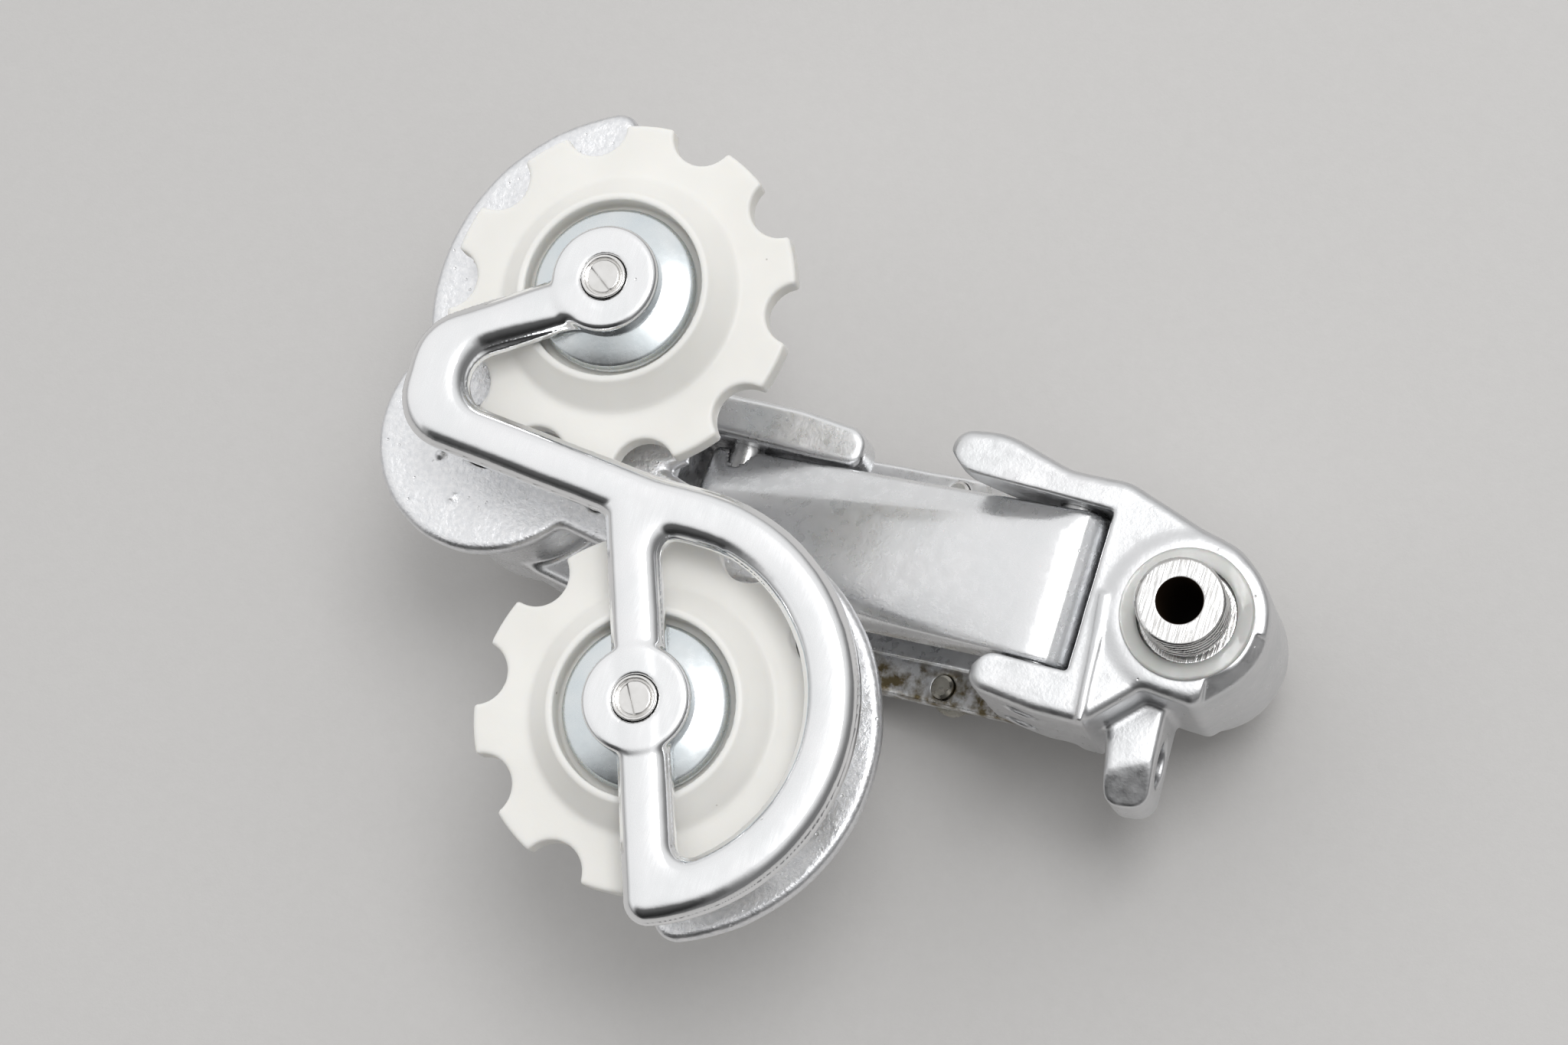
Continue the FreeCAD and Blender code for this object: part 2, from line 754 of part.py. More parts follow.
def cage_pins():
    """The pivot bolt that the cage turns on, and the pin that stops it."""
    pivot = new_body("cage_pivot_bolt")
    profile = new_sketch(pivot, "XZ")
    top = size("outer_plate_z") + size("outer_plate_thick")
    seat = -size("housing_depth")
    radius = size("pivot_radius")
    add_loop(profile, [
        (0, top + 0.3, 0),
        (radius - 0.5, top + 0.3, 0),
        (radius, top, 0),
        (radius, seat, 0),
        (6.6, seat, 0),
        (6.6, seat - 2.6, 0.9),
        (0, seat - 2.6, 0),
    ])
    turn(pivot, profile)
    socket = new_sketch(pivot, "XY", seat - 2.6)
    add_loop(socket, [(*polar(0, 0, 2.9, 60 * side)[:2], 0) for side in range(6)])
    pocket(pivot, socket, "2.4", reverse=True)
    place(pivot, "sizes.pivot_x", "sizes.pivot_y")
    stop = new_body("cage_stop_pin")
    sketch = new_sketch(stop, "XY", -0.6)
    add_ring_hole(sketch, *STOP_PIN, 1.6)
    pad(stop, sketch, "sizes.outer_plate_z + sizes.outer_plate_thick + 0.6")


def pulley_bolt(label, x, y):
    body = new_body(label)
    profile = new_sketch(body, "XZ")
    radius = size("pulley_bolt_radius")
    end = size("pulley_bolt_end")
    seat = size("outer_plate_z")
    add_loop(profile, [
        (0, end, 0),
        (radius - 0.3, end, 0),
        (radius, end - 0.3, 0),
        (radius, seat, 0),
        (4.2, seat, 0),
        (4.2, seat - 2.2, 0.8),
        (0, seat - 2.2, 0),
    ])
    turn(body, profile)
    socket = new_sketch(body, "XY", seat - 2.2)
    add_loop(socket, [(*polar(0, 0, 1.73, 60 * side)[:2], 0) for side in range(6)])
    pocket(body, socket, "1.8", reverse=True)
    place(body, x, y)


def bush(label, x, y):
    """Plain bearing that the pulley turns on, clamped between the dust caps."""
    body = new_body(label)
    sketch = new_sketch(body, "XY")
    add_circle(sketch, 0, 0, "bush_radius")
    add_ring_hole(sketch, 0, 0, size("pulley_bolt_radius") + size("fit_gap"))
    pad(body, sketch, "2 * sizes.hub_half_width - 0.4", midplane=True)
    place(body, x, y, "sizes.pulley_mid_z")


def dust_cap(label, x, y, side):
    """Domed steel cap; side is 1 inboard and -1 outboard."""
    body = new_body(label)
    profile = new_sketch(body, "XZ")
    rim = size("cap_radius")
    gauge = 0.5
    seat = 4.4
    flat = 5.2
    low = 3.5
    bore = size("pulley_bolt_radius") + size("fit_gap")
    crown = seat + 0.8
    add_loop(profile, [
        (bore, seat, 0),
        (flat, seat, 0.8),
        (rim - gauge, low, 0.6),
        (rim - gauge, low - 0.9, 0),
        (rim, low - 0.9, 0),
        (rim, low + gauge, 1.2),
        (flat + 0.2, crown, 1.4),
        (bore, crown, 0),
    ])
    turn(body, profile)
    if side < 0:
        body.Placement.Rotation = FreeCAD.Rotation(FreeCAD.Vector(1, 0, 0), 180)
    place(body, x, y, "sizes.pulley_mid_z")


def pulley(label, x, y, first_notch):
    """Ten-tooth jockey wheel: a turned hub and disc with round notches."""
    body = new_body(label)
    profile = new_sketch(body, "XZ")
    hub = size("hub_half_width")
    tooth = size("tooth_half_width")
    bore = size("bush_radius") + size("fit_gap")
    recess = size("recess_radius")
    floor = 1.9
    add_loop(profile, [
        (bore, floor, 0),
        (recess, floor, 0),
        (recess, hub, 0),
        (size("hub_radius"), hub, 0.3),
        (size("shoulder_radius"), tooth, 1.5),
        (size("pulley_tip_radius"), tooth, 0.4),
        (size("pulley_tip_radius"), -tooth, 0.4),
        (size("shoulder_radius"), -tooth, 1.5),
        (size("hub_radius"), -hub, 0.3),
        (recess, -hub, 0),
        (recess, -floor, 0),
        (bore, -floor, 0),
    ])
    turn(body, profile)
    notch = new_sketch(body, "XY")
    centre = polar(0, 0, size("notch_place_radius"), first_notch)
    add_circle(notch, centre.x, centre.y, "notch_radius")
    cut = pocket_through(body, notch)
    teeth = body.newObject("PartDesign::PolarPattern", f"{label}_teeth")
    teeth.Originals = [cut]
    teeth.Axis = (notch, ["N_Axis"])
    teeth.Angle = 360
    teeth.setExpression("Occurrences", "sizes.tooth_count")
    body.Tip = teeth
    place(body, x, y, "sizes.pulley_mid_z")


def pulley_sets():
    for name, first_notch in (("guide", 7.5), ("tension", 2.7)):
        x = f"sizes.{name}_x"
        y = f"sizes.{name}_y"
        pulley(f"{name}_pulley", x, y, first_notch)
        bush(f"{name}_bush", x, y)
        dust_cap(f"{name}_cap_inboard", x, y, 1)
        dust_cap(f"{name}_cap_outboard", x, y, -1)
        pulley_bolt(f"{name}_bolt", x, y)


# ---------------------------------------------------------------- build and export

mounting_bolt()
mounting_washers()
mounting_body()
link_pins()
inner_link()
outer_link()
limit_screws()
cable_anchor()
springs()
lower_knuckle()
inner_cage_plate()
outer_cage_plate()
cage_pins()
pulley_sets()
doc.recompute()

os.makedirs("parts", exist_ok=True)
for item in doc.Objects:
    if "Invalid" in item.State or "Error" in item.State:
        raise RuntimeError(f"{item.Label} failed: {item.State}")
for part in PARTS:
    shape = part.Shape
    if shape.isNull() or not shape.isValid():
        raise RuntimeError(f"{part.Label} has no valid solid")
    shape.exportStep(f"parts/{part.Label}.step")
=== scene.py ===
"""Rear derailleur lying on a pale table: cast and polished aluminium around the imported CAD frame."""
import json
import math
import bpy
import numpy as np
from mathutils import Matrix, Vector, noise


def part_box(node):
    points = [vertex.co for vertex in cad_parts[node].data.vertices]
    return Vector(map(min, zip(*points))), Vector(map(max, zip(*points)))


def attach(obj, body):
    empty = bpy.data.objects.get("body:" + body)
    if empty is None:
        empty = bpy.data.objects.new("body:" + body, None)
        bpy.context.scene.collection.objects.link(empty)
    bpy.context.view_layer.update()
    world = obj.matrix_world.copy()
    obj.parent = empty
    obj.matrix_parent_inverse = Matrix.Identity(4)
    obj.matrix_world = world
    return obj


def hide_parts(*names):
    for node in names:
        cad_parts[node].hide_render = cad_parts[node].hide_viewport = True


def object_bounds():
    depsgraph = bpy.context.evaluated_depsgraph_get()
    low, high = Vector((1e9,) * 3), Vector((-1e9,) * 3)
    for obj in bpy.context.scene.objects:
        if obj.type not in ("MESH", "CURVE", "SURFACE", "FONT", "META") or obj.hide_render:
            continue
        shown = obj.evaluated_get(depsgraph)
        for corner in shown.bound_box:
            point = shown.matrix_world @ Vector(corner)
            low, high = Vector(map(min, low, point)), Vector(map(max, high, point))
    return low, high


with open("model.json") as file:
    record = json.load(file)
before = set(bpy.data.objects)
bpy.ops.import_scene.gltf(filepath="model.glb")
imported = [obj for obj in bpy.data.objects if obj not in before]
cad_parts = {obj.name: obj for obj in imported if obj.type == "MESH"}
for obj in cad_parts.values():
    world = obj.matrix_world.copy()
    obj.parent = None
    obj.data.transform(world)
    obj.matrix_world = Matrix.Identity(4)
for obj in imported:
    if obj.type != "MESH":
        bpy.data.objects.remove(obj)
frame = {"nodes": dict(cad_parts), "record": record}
cad_low, cad_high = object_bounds()
noise.seed_set(7)  # without a seed the noise differs from run to run

MM = 0.001
BODY_OF = {
    node: body
    for body, nodes in frame["record"]["behaviour"]["bodies"].items()
    for node in nodes
}


# ---------------------------------------------------------------- places, in millimetres

def middle(node):
    """Centre of a CAD node's box at rest."""
    low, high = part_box(node)
    return (low + high) / 2 / MM


GUIDE = middle("guide_pulley")
TENSION = middle("tension_pulley")
PIVOT = middle("cage_pivot_bolt")
UPPER_INNER = middle("upper_inner_pin")
UPPER_OUTER = middle("upper_outer_pin")
LOWER_INNER = middle("lower_inner_pin")
LOWER_OUTER = middle("lower_outer_pin")
STOP_PIN = middle("cage_stop_pin")
LINK = LOWER_INNER - UPPER_INNER
LINK_LENGTH = LINK.length
LINK_TILT = math.atan2(-LINK.z, -LINK.x)
STRUT_ANGLE = math.radians(-69.2)
FINE = 0.25


# ---------------------------------------------------------------- shapes as fields of distances

class Block:
    """A box of sample points in millimetres; shapes are distances to them, negative inside."""

    def __init__(self, low, high, step=FINE):
        self.low = np.array(low, float)
        self.step = step
        counts = np.ceil((np.array(high, float) - self.low) / step).astype(int) + 1
        self.x, self.y, self.z = np.ogrid[: counts[0], : counts[1], : counts[2]]
        self.x = self.low[0] + step * self.x
        self.y = self.low[1] + step * self.y
        self.z = self.low[2] + step * self.z


def corners_rounded(corners, turn=10):
    """Points of a closed outline of (x, y, radius) corners, each rounded by its radius."""
    points = []
    for index, (x, y, radius) in enumerate(corners):
        here = Vector((x, y))
        if radius == 0:
            points.append((x, y))
            continue
        back = (Vector(corners[index - 1][:2]) - here).normalized()
        ahead = (Vector(corners[(index + 1) % len(corners)][:2]) - here).normalized()
        half = back.angle(ahead) / 2
        centre = here + (back + ahead).normalized() * (radius / math.sin(half))
        start = here + back * (radius / math.tan(half)) - centre
        sweep = start.angle_signed(here + ahead * (radius / math.tan(half)) - centre)
        steps = max(2, int(math.degrees(abs(sweep)) / turn) + 1)
        for step in range(steps + 1):
            spoke = start.copy()
            spoke.rotate(Matrix.Rotation(-sweep * step / steps, 2))
            points.append(tuple(centre + spoke))
    return points


def outline(u, v, corners):
    """Distance from a closed outline of (u, v, radius) corners."""
    points = corners_rounded(corners)
    nearest = np.full(np.broadcast(u, v).shape, 1e9)
    inside = np.zeros(nearest.shape, bool)
    for (ax, ay), (bx, by) in zip(points, points[1:] + points[:1]):
        run, rise = bx - ax, by - ay
        if run * run + rise * rise < 1e-12:
            continue
        du, dv = u - ax, v - ay
        along = np.clip((du * run + dv * rise) / (run * run + rise * rise), 0, 1)
        nearest = np.minimum(nearest, (du - along * run) ** 2 + (dv - along * rise) ** 2)
        if rise:
            inside ^= ((ay > v) != (by > v)) & (du < run * dv / rise)
    return np.where(inside, -1, 1) * np.sqrt(nearest)


def disc(u, v, centre, radius):
    """Distance from a circle."""
    return np.hypot(u - centre[0], v - centre[1]) - radius


def beyond(u, v, point, angle, offset=0.0):
    """Distance past a straight line through point whose outward side faces angle."""
    return (u - point[0]) * math.cos(angle) + (v - point[1]) * math.sin(angle) - offset


def both(a, b, radius=0.0):
    """What two shapes share, with the edge between them rounded."""
    if np.ndim(radius) == 0 and radius == 0:
        return np.maximum(a, b)
    a, b = a + radius, b + radius
    inner = np.minimum(np.maximum(a, b), 0)
    return inner + np.hypot(np.maximum(a, 0), np.maximum(b, 0)) - radius


def join(a, b, blend=0.0):
    """Two shapes as one, with a fillet of about this size between them."""
    if blend == 0:
        return np.minimum(a, b)
    share = np.clip(0.5 + 0.5 * (b - a) / blend, 0, 1)
    return b * (1 - share) + a * share - blend * share * (1 - share)


def cut(a, b, radius=0.0):
    """Shape a without shape b, with the new edge rounded."""
    return both(a, -b, radius)


def slab(flat, along, low, high, edge=0.3, low_edge=None):
    """An outline pushed from low to high, its edges rounded."""
    half = (high - low) / 2
    offset = along - (low + high) / 2
    shape = both(flat, np.abs(offset) - half, edge)
    if low_edge is None:
        return shape
    return np.where(offset > 0, shape, both(flat, np.abs(offset) - half, low_edge))


# ---------------------------------------------------------------- meshes

def surface(block, field):
    """Points, in millimetres, and quads of the field's zero level."""
    inside = field < 0
    cells = np.zeros([n - 1 for n in field.shape], np.int8)
    for i, j, k in np.ndindex(2, 2, 2):
        cells += inside[
            i : i + cells.shape[0], j : j + cells.shape[1], k : k + cells.shape[2]
        ]
    spots = np.argwhere((cells > 0) & (cells < 8))
    number = np.full(cells.shape, -1)
    number[tuple(spots.T)] = np.arange(len(spots))
    total = np.zeros(spots.shape)
    hits = np.zeros(len(spots))
    for axis in range(3):
        step = np.eye(3, dtype=int)[axis]
        others = [a for a in range(3) if a != axis]
        for one, two in np.ndindex(2, 2):
            start = spots.copy()
            start[:, others[0]] += one
            start[:, others[1]] += two
            near = field[tuple(start.T)]
            far = field[tuple((start + step).T)]
            crossed = (near < 0) != (far < 0)
            share = near[crossed] / (near[crossed] - far[crossed])
            total[crossed] += start[crossed] + share[:, None] * step
            hits[crossed] += 1
    points = total / hits[:, None]
    quads = []
    for axis in range(3):
        one, two = (axis + 1) % 3, (axis + 2) % 3
        grid = np.moveaxis(inside, (axis, one, two), (0, 1, 2))
        label = np.moveaxis(number, (axis, one, two), (0, 1, 2))
        change = grid[:-1, 1:-1, 1:-1] != grid[1:, 1:-1, 1:-1]
        leaves = grid[:-1, 1:-1, 1:-1][change]
        a, b, c = np.nonzero(change)
        ring = np.stack(
            [label[a, b, c], label[a, b + 1, c], label[a, b + 1, c + 1], label[a, b, c + 1]], 1
        )
        ring[~leaves] = ring[~leaves][:, ::-1]
        quads.append(ring)
    return relaxed(field, points, np.concatenate(quads), block)


def sampled(field, points):
    """The field at points given in steps, by trilinear interpolation."""
    base = np.clip(np.floor(points).astype(int), 0, np.array(field.shape) - 2)
    part = points - base
    value = np.zeros(len(points))
    for corner in np.ndindex(2, 2, 2):
        weight = np.prod(np.where(corner, part, 1 - part), axis=1)
        value += weight * field[tuple((base + corner).T)]
    return value


def relaxed(field, points, quads, block, rounds=3):
    """Evens out the points along the surface, then puts them back on it."""
    ends = np.concatenate([quads, np.roll(quads, 1, 1)]).reshape(-1)
    starts = np.concatenate([np.roll(quads, 1, 1), quads]).reshape(-1)
    links = np.bincount(ends, minlength=len(points))[:, None]
    for _ in range(rounds):
        around = np.stack(
            [np.bincount(ends, points[starts, a], len(points)) for a in range(3)], 1
        )
        points = (points + around / links) / 2
        for _ in range(2):
            slope = np.stack(
                [
                    sampled(field, points + 0.5 * e) - sampled(field, points - 0.5 * e)
                    for e in np.eye(3)
                ],
                1,
            )
            steepness = np.maximum((slope**2).sum(1), 0.05 * block.step**2)
            points = points - (sampled(field, points) / steepness)[:, None] * slope
    return block.low + block.step * points, quads


def mesh_object(name, points, faces):
    """A smooth-shaded object from points in millimetres and faces of equal size."""
    mesh = bpy.data.meshes.new(name)
    mesh.vertices.add(len(points))
    mesh.vertices.foreach_set("co", (np.asarray(points) * MM).astype(np.float32).ravel())
    sizes = np.full(len(faces), faces.shape[1])
    mesh.loops.add(int(sizes.sum()))
    mesh.loops.foreach_set("vertex_index", faces.astype(np.int32).ravel())
    mesh.polygons.add(len(faces))
    mesh.polygons.foreach_set("loop_start", np.concatenate([[0], np.cumsum(sizes)[:-1]]))
    mesh.polygons.foreach_set("use_smooth", np.ones(len(faces), bool))
    mesh.update(calc_edges=True)
    mesh.validate()
    thing = bpy.data.objects.new(name, mesh)
    bpy.context.collection.objects.link(thing)
    return thing


def stand_in(thing, node, finish):
    """The piece takes the CAD node's place, body and material slot."""
    thing.data.materials.append(finish)
    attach(thing, BODY_OF[node])
    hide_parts(node)
    return thing


def pitted(points, depth, size, seed):
    """Casting unevenness: each point moves a little by smooth noise."""
    shift = Vector((seed * 7.1, seed * 3.3, seed * 5.7))
    wave = np.array([noise.noise_vector(Vector(p) / size + shift) for p in points])
    return points + depth * wave


def carved(node, block, field, finish, tilt=0.0, origin=(0, 0, 0), uneven=0.0, size=4.0):
    """A solid from a field, turned about Y by tilt and moved to origin."""
    points, faces = surface(block, field)
    if uneven:
        points = pitted(points, uneven, size, len(node))
    turn = np.array(Matrix.Rotation(-tilt, 3, "Y"))
    points = points @ turn.T + np.array(origin)
    return stand_in(mesh_object(f"{node}_shape", points, faces), node, finish)


def lathe(node, profile, centre, finish, steps=96, side=1):
    """A turned solid about Z: a closed outline of (radius, height, corner) points."""
    points = corners_rounded(profile, 18)
    rings = []
    for turn in range(steps):
        angle = 2 * math.pi * turn / steps
        rings += [(r * math.cos(angle), r * math.sin(angle), side * z) for r, z in points]
    count = len(points)
    at = np.arange(steps)[:, None] * count + np.arange(count)
    after = np.roll(at, -1, 0)
    faces = np.stack([at, after, np.roll(after, -1, 1), np.roll(at, -1, 1)], -1).reshape(-1, 4)
    thing = mesh_object(f"{node}_shape", np.array(rings) + np.array(centre), faces)
    return stand_in(thing, node, finish)


# ---------------------------------------------------------------- materials

class Finish:
    """A node material in millimetres around one Principled shader."""

    def __init__(self, name, **values):
        self.material = bpy.data.materials.new(name)
        self.material.use_nodes = True
        self.nodes = self.material.node_tree.nodes
        self.links = self.material.node_tree.links
        self.shader = self.nodes["Principled BSDF"]
        for socket, value in values.items():
            self.shader.inputs[socket.replace("_", " ")].default_value = value
        place = self.nodes.new("ShaderNodeTexCoord")
        self.position = self.add("ShaderNodeVectorMath", operation="SCALE")
        self.links.new(place.outputs["Object"], self.position.inputs[0])
        self.position.inputs["Scale"].default_value = 1 / MM

    def add(self, kind, **settings):
        """A new node with the given properties."""
        node = self.nodes.new(kind)
        for key, value in settings.items():
            setattr(node, key, value)
        return node

    def grain(self, size, detail=2.0, roughness=0.5, stretch=(1, 1, 1), turn=0.0):
        """Noise whose features are about size mm wide."""
        mapping = self.add("ShaderNodeMapping")
        mapping.inputs["Rotation"].default_value = (0, 0, turn)
        mapping.inputs["Scale"].default_value = stretch
        self.links.new(self.position.outputs[0], mapping.inputs["Vector"])
        noise_node = self.add("ShaderNodeTexNoise")
        noise_node.inputs["Scale"].default_value = 1 / size
        noise_node.inputs["Detail"].default_value = detail
        noise_node.inputs["Roughness"].default_value = roughness
        self.links.new(mapping.outputs[0], noise_node.inputs["Vector"])
        return noise_node.outputs["Fac"]

    def pits(self, size, share):
        """1 on the surface, falling to 0 in a few small pits."""
        cells = self.add("ShaderNodeTexVoronoi")
        cells.inputs["Scale"].default_value = 1 / size
        self.links.new(self.position.outputs[0], cells.inputs["Vector"])
        return self.ramp(cells.outputs["Distance"], (share * 0.5, 0), (share, 1))

    def ramp(self, source, *stops):
        """Maps a value through (position, value or colour) stops."""
        node = self.add("ShaderNodeValToRGB")
        while len(node.color_ramp.elements) < len(stops):
            node.color_ramp.elements.new(1)
        for element, (position, value) in zip(node.color_ramp.elements, stops):
            element.position = position
            element.color = (*value, 1) if isinstance(value, tuple) else (value, value, value, 1)
        self.links.new(source, node.inputs["Fac"])
        return node.outputs["Color"]

    def mask(self, one, two, share):
        """One value where share is 0 and the other where it is 1."""
        node = self.add("ShaderNodeMix", data_type="RGBA")
        self.links.new(share, node.inputs["Factor"])
        for socket, value in ((6, one), (7, two)):
            if isinstance(value, tuple):
                node.inputs[socket].default_value = (*value, 1)
            else:
                self.links.new(value, node.inputs[socket])
        return node.outputs[2]

    def shifted(self, source, zero, one):
        """A value stretched so that zero becomes 0 and one becomes 1."""
        node = self.add("ShaderNodeMapRange")
        node.inputs["From Min"].default_value = zero
        node.inputs["From Max"].default_value = one
        self.links.new(source, node.inputs["Value"])
        return node.outputs["Result"]

    def facing_up(self, least=0.97):
        """1 on faces that look along Z, 0 elsewhere."""
        geometry = self.add("ShaderNodeNewGeometry")
        split = self.add("ShaderNodeSeparateXYZ")
        self.links.new(geometry.outputs["Normal"], split.inputs[0])
        return self.ramp(split.outputs["Z"], (least - 0.04, 0), (least, 1))

    def near_axis(self, radius):
        """1 within this distance of the Z axis, 0 outside it."""
        flat = self.add("ShaderNodeVectorMath", operation="MULTIPLY")
        flat.inputs[1].default_value = (1, 1, 0)
        self.links.new(self.position.outputs[0], flat.inputs[0])
        length = self.add("ShaderNodeVectorMath", operation="LENGTH")
        self.links.new(flat.outputs[0], length.inputs[0])
        return self.ramp(self.shifted(length.outputs["Value"], radius + 0.05, radius), (0, 0), (1, 1))

    def feed(self, socket, source):
        """Drives one of the shader's sockets."""
        self.links.new(source, self.shader.inputs[socket])

    def bump(self, *layers):
        """Stacks (height, depth in mm) layers of relief."""
        normal = None
        for height, depth in layers:
            node = self.add("ShaderNodeBump")
            node.inputs["Distance"].default_value = depth * MM
            self.links.new(height, node.inputs["Height"])
            if normal is not None:
                self.links.new(normal, node.inputs["Normal"])
            normal = node.outputs["Normal"]
        self.feed("Normal", normal)


def cast_aluminium(name, dark, light, smooth, rough):
    """Tumbled casting: satin grain, gently wavy reflections and the odd pit."""
    finish = Finish(name, Metallic=1.0)
    finish.feed("Base Color", finish.ramp(finish.grain(7.0), (0.3, dark), (0.7, light)))
    finish.feed("Roughness", finish.ramp(finish.grain(1.2, 4.0), (0.3, smooth), (0.7, rough)))
    finish.bump(
        (finish.grain(2.6), 0.025),
        (finish.grain(0.40, 3.0, 0.6), 0.020),
        (finish.pits(3.4, 0.05), 0.05),
    )
    return finish.material


def greasy_aluminium():
    """The cover plate's casting, stained by old grease near its lower screw."""
    finish = Finish("greasy_aluminium", Metallic=1.0)
    clean = finish.ramp(finish.grain(7.0), (0.3, (0.78, 0.79, 0.80)), (0.7, (0.86, 0.86, 0.87)))
    split = finish.add("ShaderNodeSeparateXYZ")
    finish.links.new(finish.position.outputs[0], split.inputs[0])
    low_side = finish.ramp(finish.shifted(split.outputs["Y"], -8.0, -10.0), (0.0, 0), (1.0, 1))
    blotches = finish.ramp(finish.grain(2.2, 4.0, 0.6), (0.42, 0), (0.62, 1))
    stain = finish.add("ShaderNodeMath", operation="MULTIPLY")
    finish.links.new(low_side, stain.inputs[0])
    finish.links.new(blotches, stain.inputs[1])
    finish.feed("Base Color", finish.mask(clean, (0.20, 0.16, 0.09), stain.outputs[0]))
    finish.feed("Roughness", finish.ramp(finish.grain(1.0, 4.0), (0.3, 0.22), (0.7, 0.40)))
    finish.bump((finish.grain(3.0), 0.05), (finish.grain(0.45, 3.0, 0.6), 0.022))
    return finish.material


def grainy_aluminium():
    """The coarser sparkling skin of the outer plate."""
    finish = Finish("grainy_aluminium", Metallic=1.0)
    finish.feed("Base Color", finish.ramp(
        finish.grain(0.6, 3.0), (0.3, (0.76, 0.77, 0.79)), (0.7, (0.88, 0.88, 0.89))))
    finish.feed("Roughness", finish.ramp(finish.grain(0.8, 3.0), (0.3, 0.26), (0.7, 0.40)))
    finish.bump(
        (finish.grain(3.0), 0.06),
        (finish.grain(0.55, 4.0, 0.65), 0.075),
        (finish.pits(1.6, 0.12), 0.05),
    )
    return finish.material


def polished_aluminium():
    """Buffed cage plate with fine brushing on its flat tops."""
    finish = Finish("polished_aluminium", Metallic=1.0)
    finish.feed("Base Color", finish.ramp(
        finish.grain(6.0), (0.3, (0.87, 0.88, 0.89)), (0.7, (0.92, 0.92, 0.93))))
    brushing = finish.grain(0.16, 2.0, 0.6, stretch=(1, 0.06, 1), turn=math.radians(35))
    flat = finish.facing_up()
    finish.feed("Roughness", finish.mask((0.13,) * 3, finish.ramp(
        brushing, (0.3, 0.22), (0.7, 0.30)), flat))
    finish.bump(
        (finish.grain(5.0), 0.10),
        (finish.grain(0.5, 3.0), 0.004),
        (finish.mask((0.5,) * 3, brushing, flat), 0.0015),
        (finish.pits(4.5, 0.04), 0.05),
    )
    return finish.material


def zinc_plate():
    """Bright bluish plating, smooth and faintly mottled."""
    finish = Finish("zinc_plate", Metallic=1.0)
    finish.feed("Base Color", finish.ramp(
        finish.grain(3.5, 3.0), (0.25, (0.70, 0.76, 0.79)), (0.75, (0.80, 0.83, 0.84))))
    finish.feed("Roughness", finish.ramp(finish.grain(1.0, 4.0), (0.3, 0.22), (0.7, 0.30)))
    finish.bump((finish.grain(0.6, 3.0), 0.006))
    return finish.material


def steel(name, dark, light, smooth, rough, relief=0.015, grain=0.5):
    """Mottled steel or bronze between two colours and two roughnesses."""
    finish = Finish(name, Metallic=1.0)
    finish.feed("Base Color", finish.ramp(finish.grain(2.0, 4.0), (0.3, dark), (0.7, light)))
    finish.feed("Roughness", finish.ramp(finish.grain(0.7, 3.0), (0.3, smooth), (0.7, rough)))
    finish.bump((finish.grain(grain, 3.0), relief))
    return finish.material


def scratched_chrome():
    """Chrome whose end face is scored by diagonal file marks, with painted shade in its bore: a dark
    brown colour stands in for the shade deep inside the hole.
    """
    finish = Finish("scratched_chrome", Metallic=1.0)
    chrome = finish.ramp(finish.grain(2.0), (0.3, (0.62, 0.61, 0.60)), (0.7, (0.80, 0.80, 0.80)))
    painted_bore_shade = finish.near_axis(2.6)
    # Painted shade: near-black brown inside radius 2.6 mm stands in for the shade deep in the hollow
    # bolt; the same mask makes the bore rough.
    finish.feed("Base Color", finish.mask(chrome, (0.035, 0.022, 0.014), painted_bore_shade))
    marks = finish.grain(0.30, 2.0, 0.6, stretch=(1, 0.06, 1), turn=math.radians(-62))
    end = finish.facing_up()
    polish = finish.mask((0.08,) * 3, finish.ramp(marks, (0.3, 0.14), (0.7, 0.34)), end)
    finish.feed("Roughness", finish.mask(polish, (0.8,) * 3, painted_bore_shade))
    finish.bump((finish.mask((0.5,) * 3, marks, end), 0.06))
    return finish.material


def pulley_nylon():
    """Off-white moulded plastic, slightly translucent, with a few dark specks."""
    finish = Finish(
        "pulley_nylon", Subsurface_Weight=0.35, Subsurface_Scale=0.0015, Specular_IOR_Level=0.45,
    )
    finish.shader.inputs["Subsurface Radius"].default_value = (1.0, 0.9, 0.75)
    colour = finish.ramp(
        finish.grain(9.0), (0.3, (0.83, 0.82, 0.785)), (0.7, (0.88, 0.87, 0.835)))
    specks = finish.pits(5.5, 0.035)
    finish.feed("Base Color", finish.mask((0.30, 0.27, 0.22), colour, specks))
    finish.feed("Roughness", finish.ramp(finish.grain(0.8, 4.0), (0.3, 0.34), (0.7, 0.50)))
    finish.bump((finish.grain(2.5), 0.04), (finish.grain(0.25, 3.0), 0.006))
    return finish.material


def clear_nylon():
    """Milky translucent washer."""
    finish = Finish(
        "clear_nylon", Transmission_Weight=0.55, IOR=1.5, Subsurface_Weight=0.3,
        Subsurface_Scale=0.001,
    )
    finish.feed("Base Color", finish.ramp(
        finish.grain(4.0), (0.3, (0.80, 0.80, 0.76)), (0.7, (0.88, 0.88, 0.86))))
    finish.feed("Roughness", finish.ramp(finish.grain(0.8, 3.0), (0.3, 0.28), (0.7, 0.42)))
    finish.bump((finish.grain(0.7, 3.0), 0.02))
    return finish.material


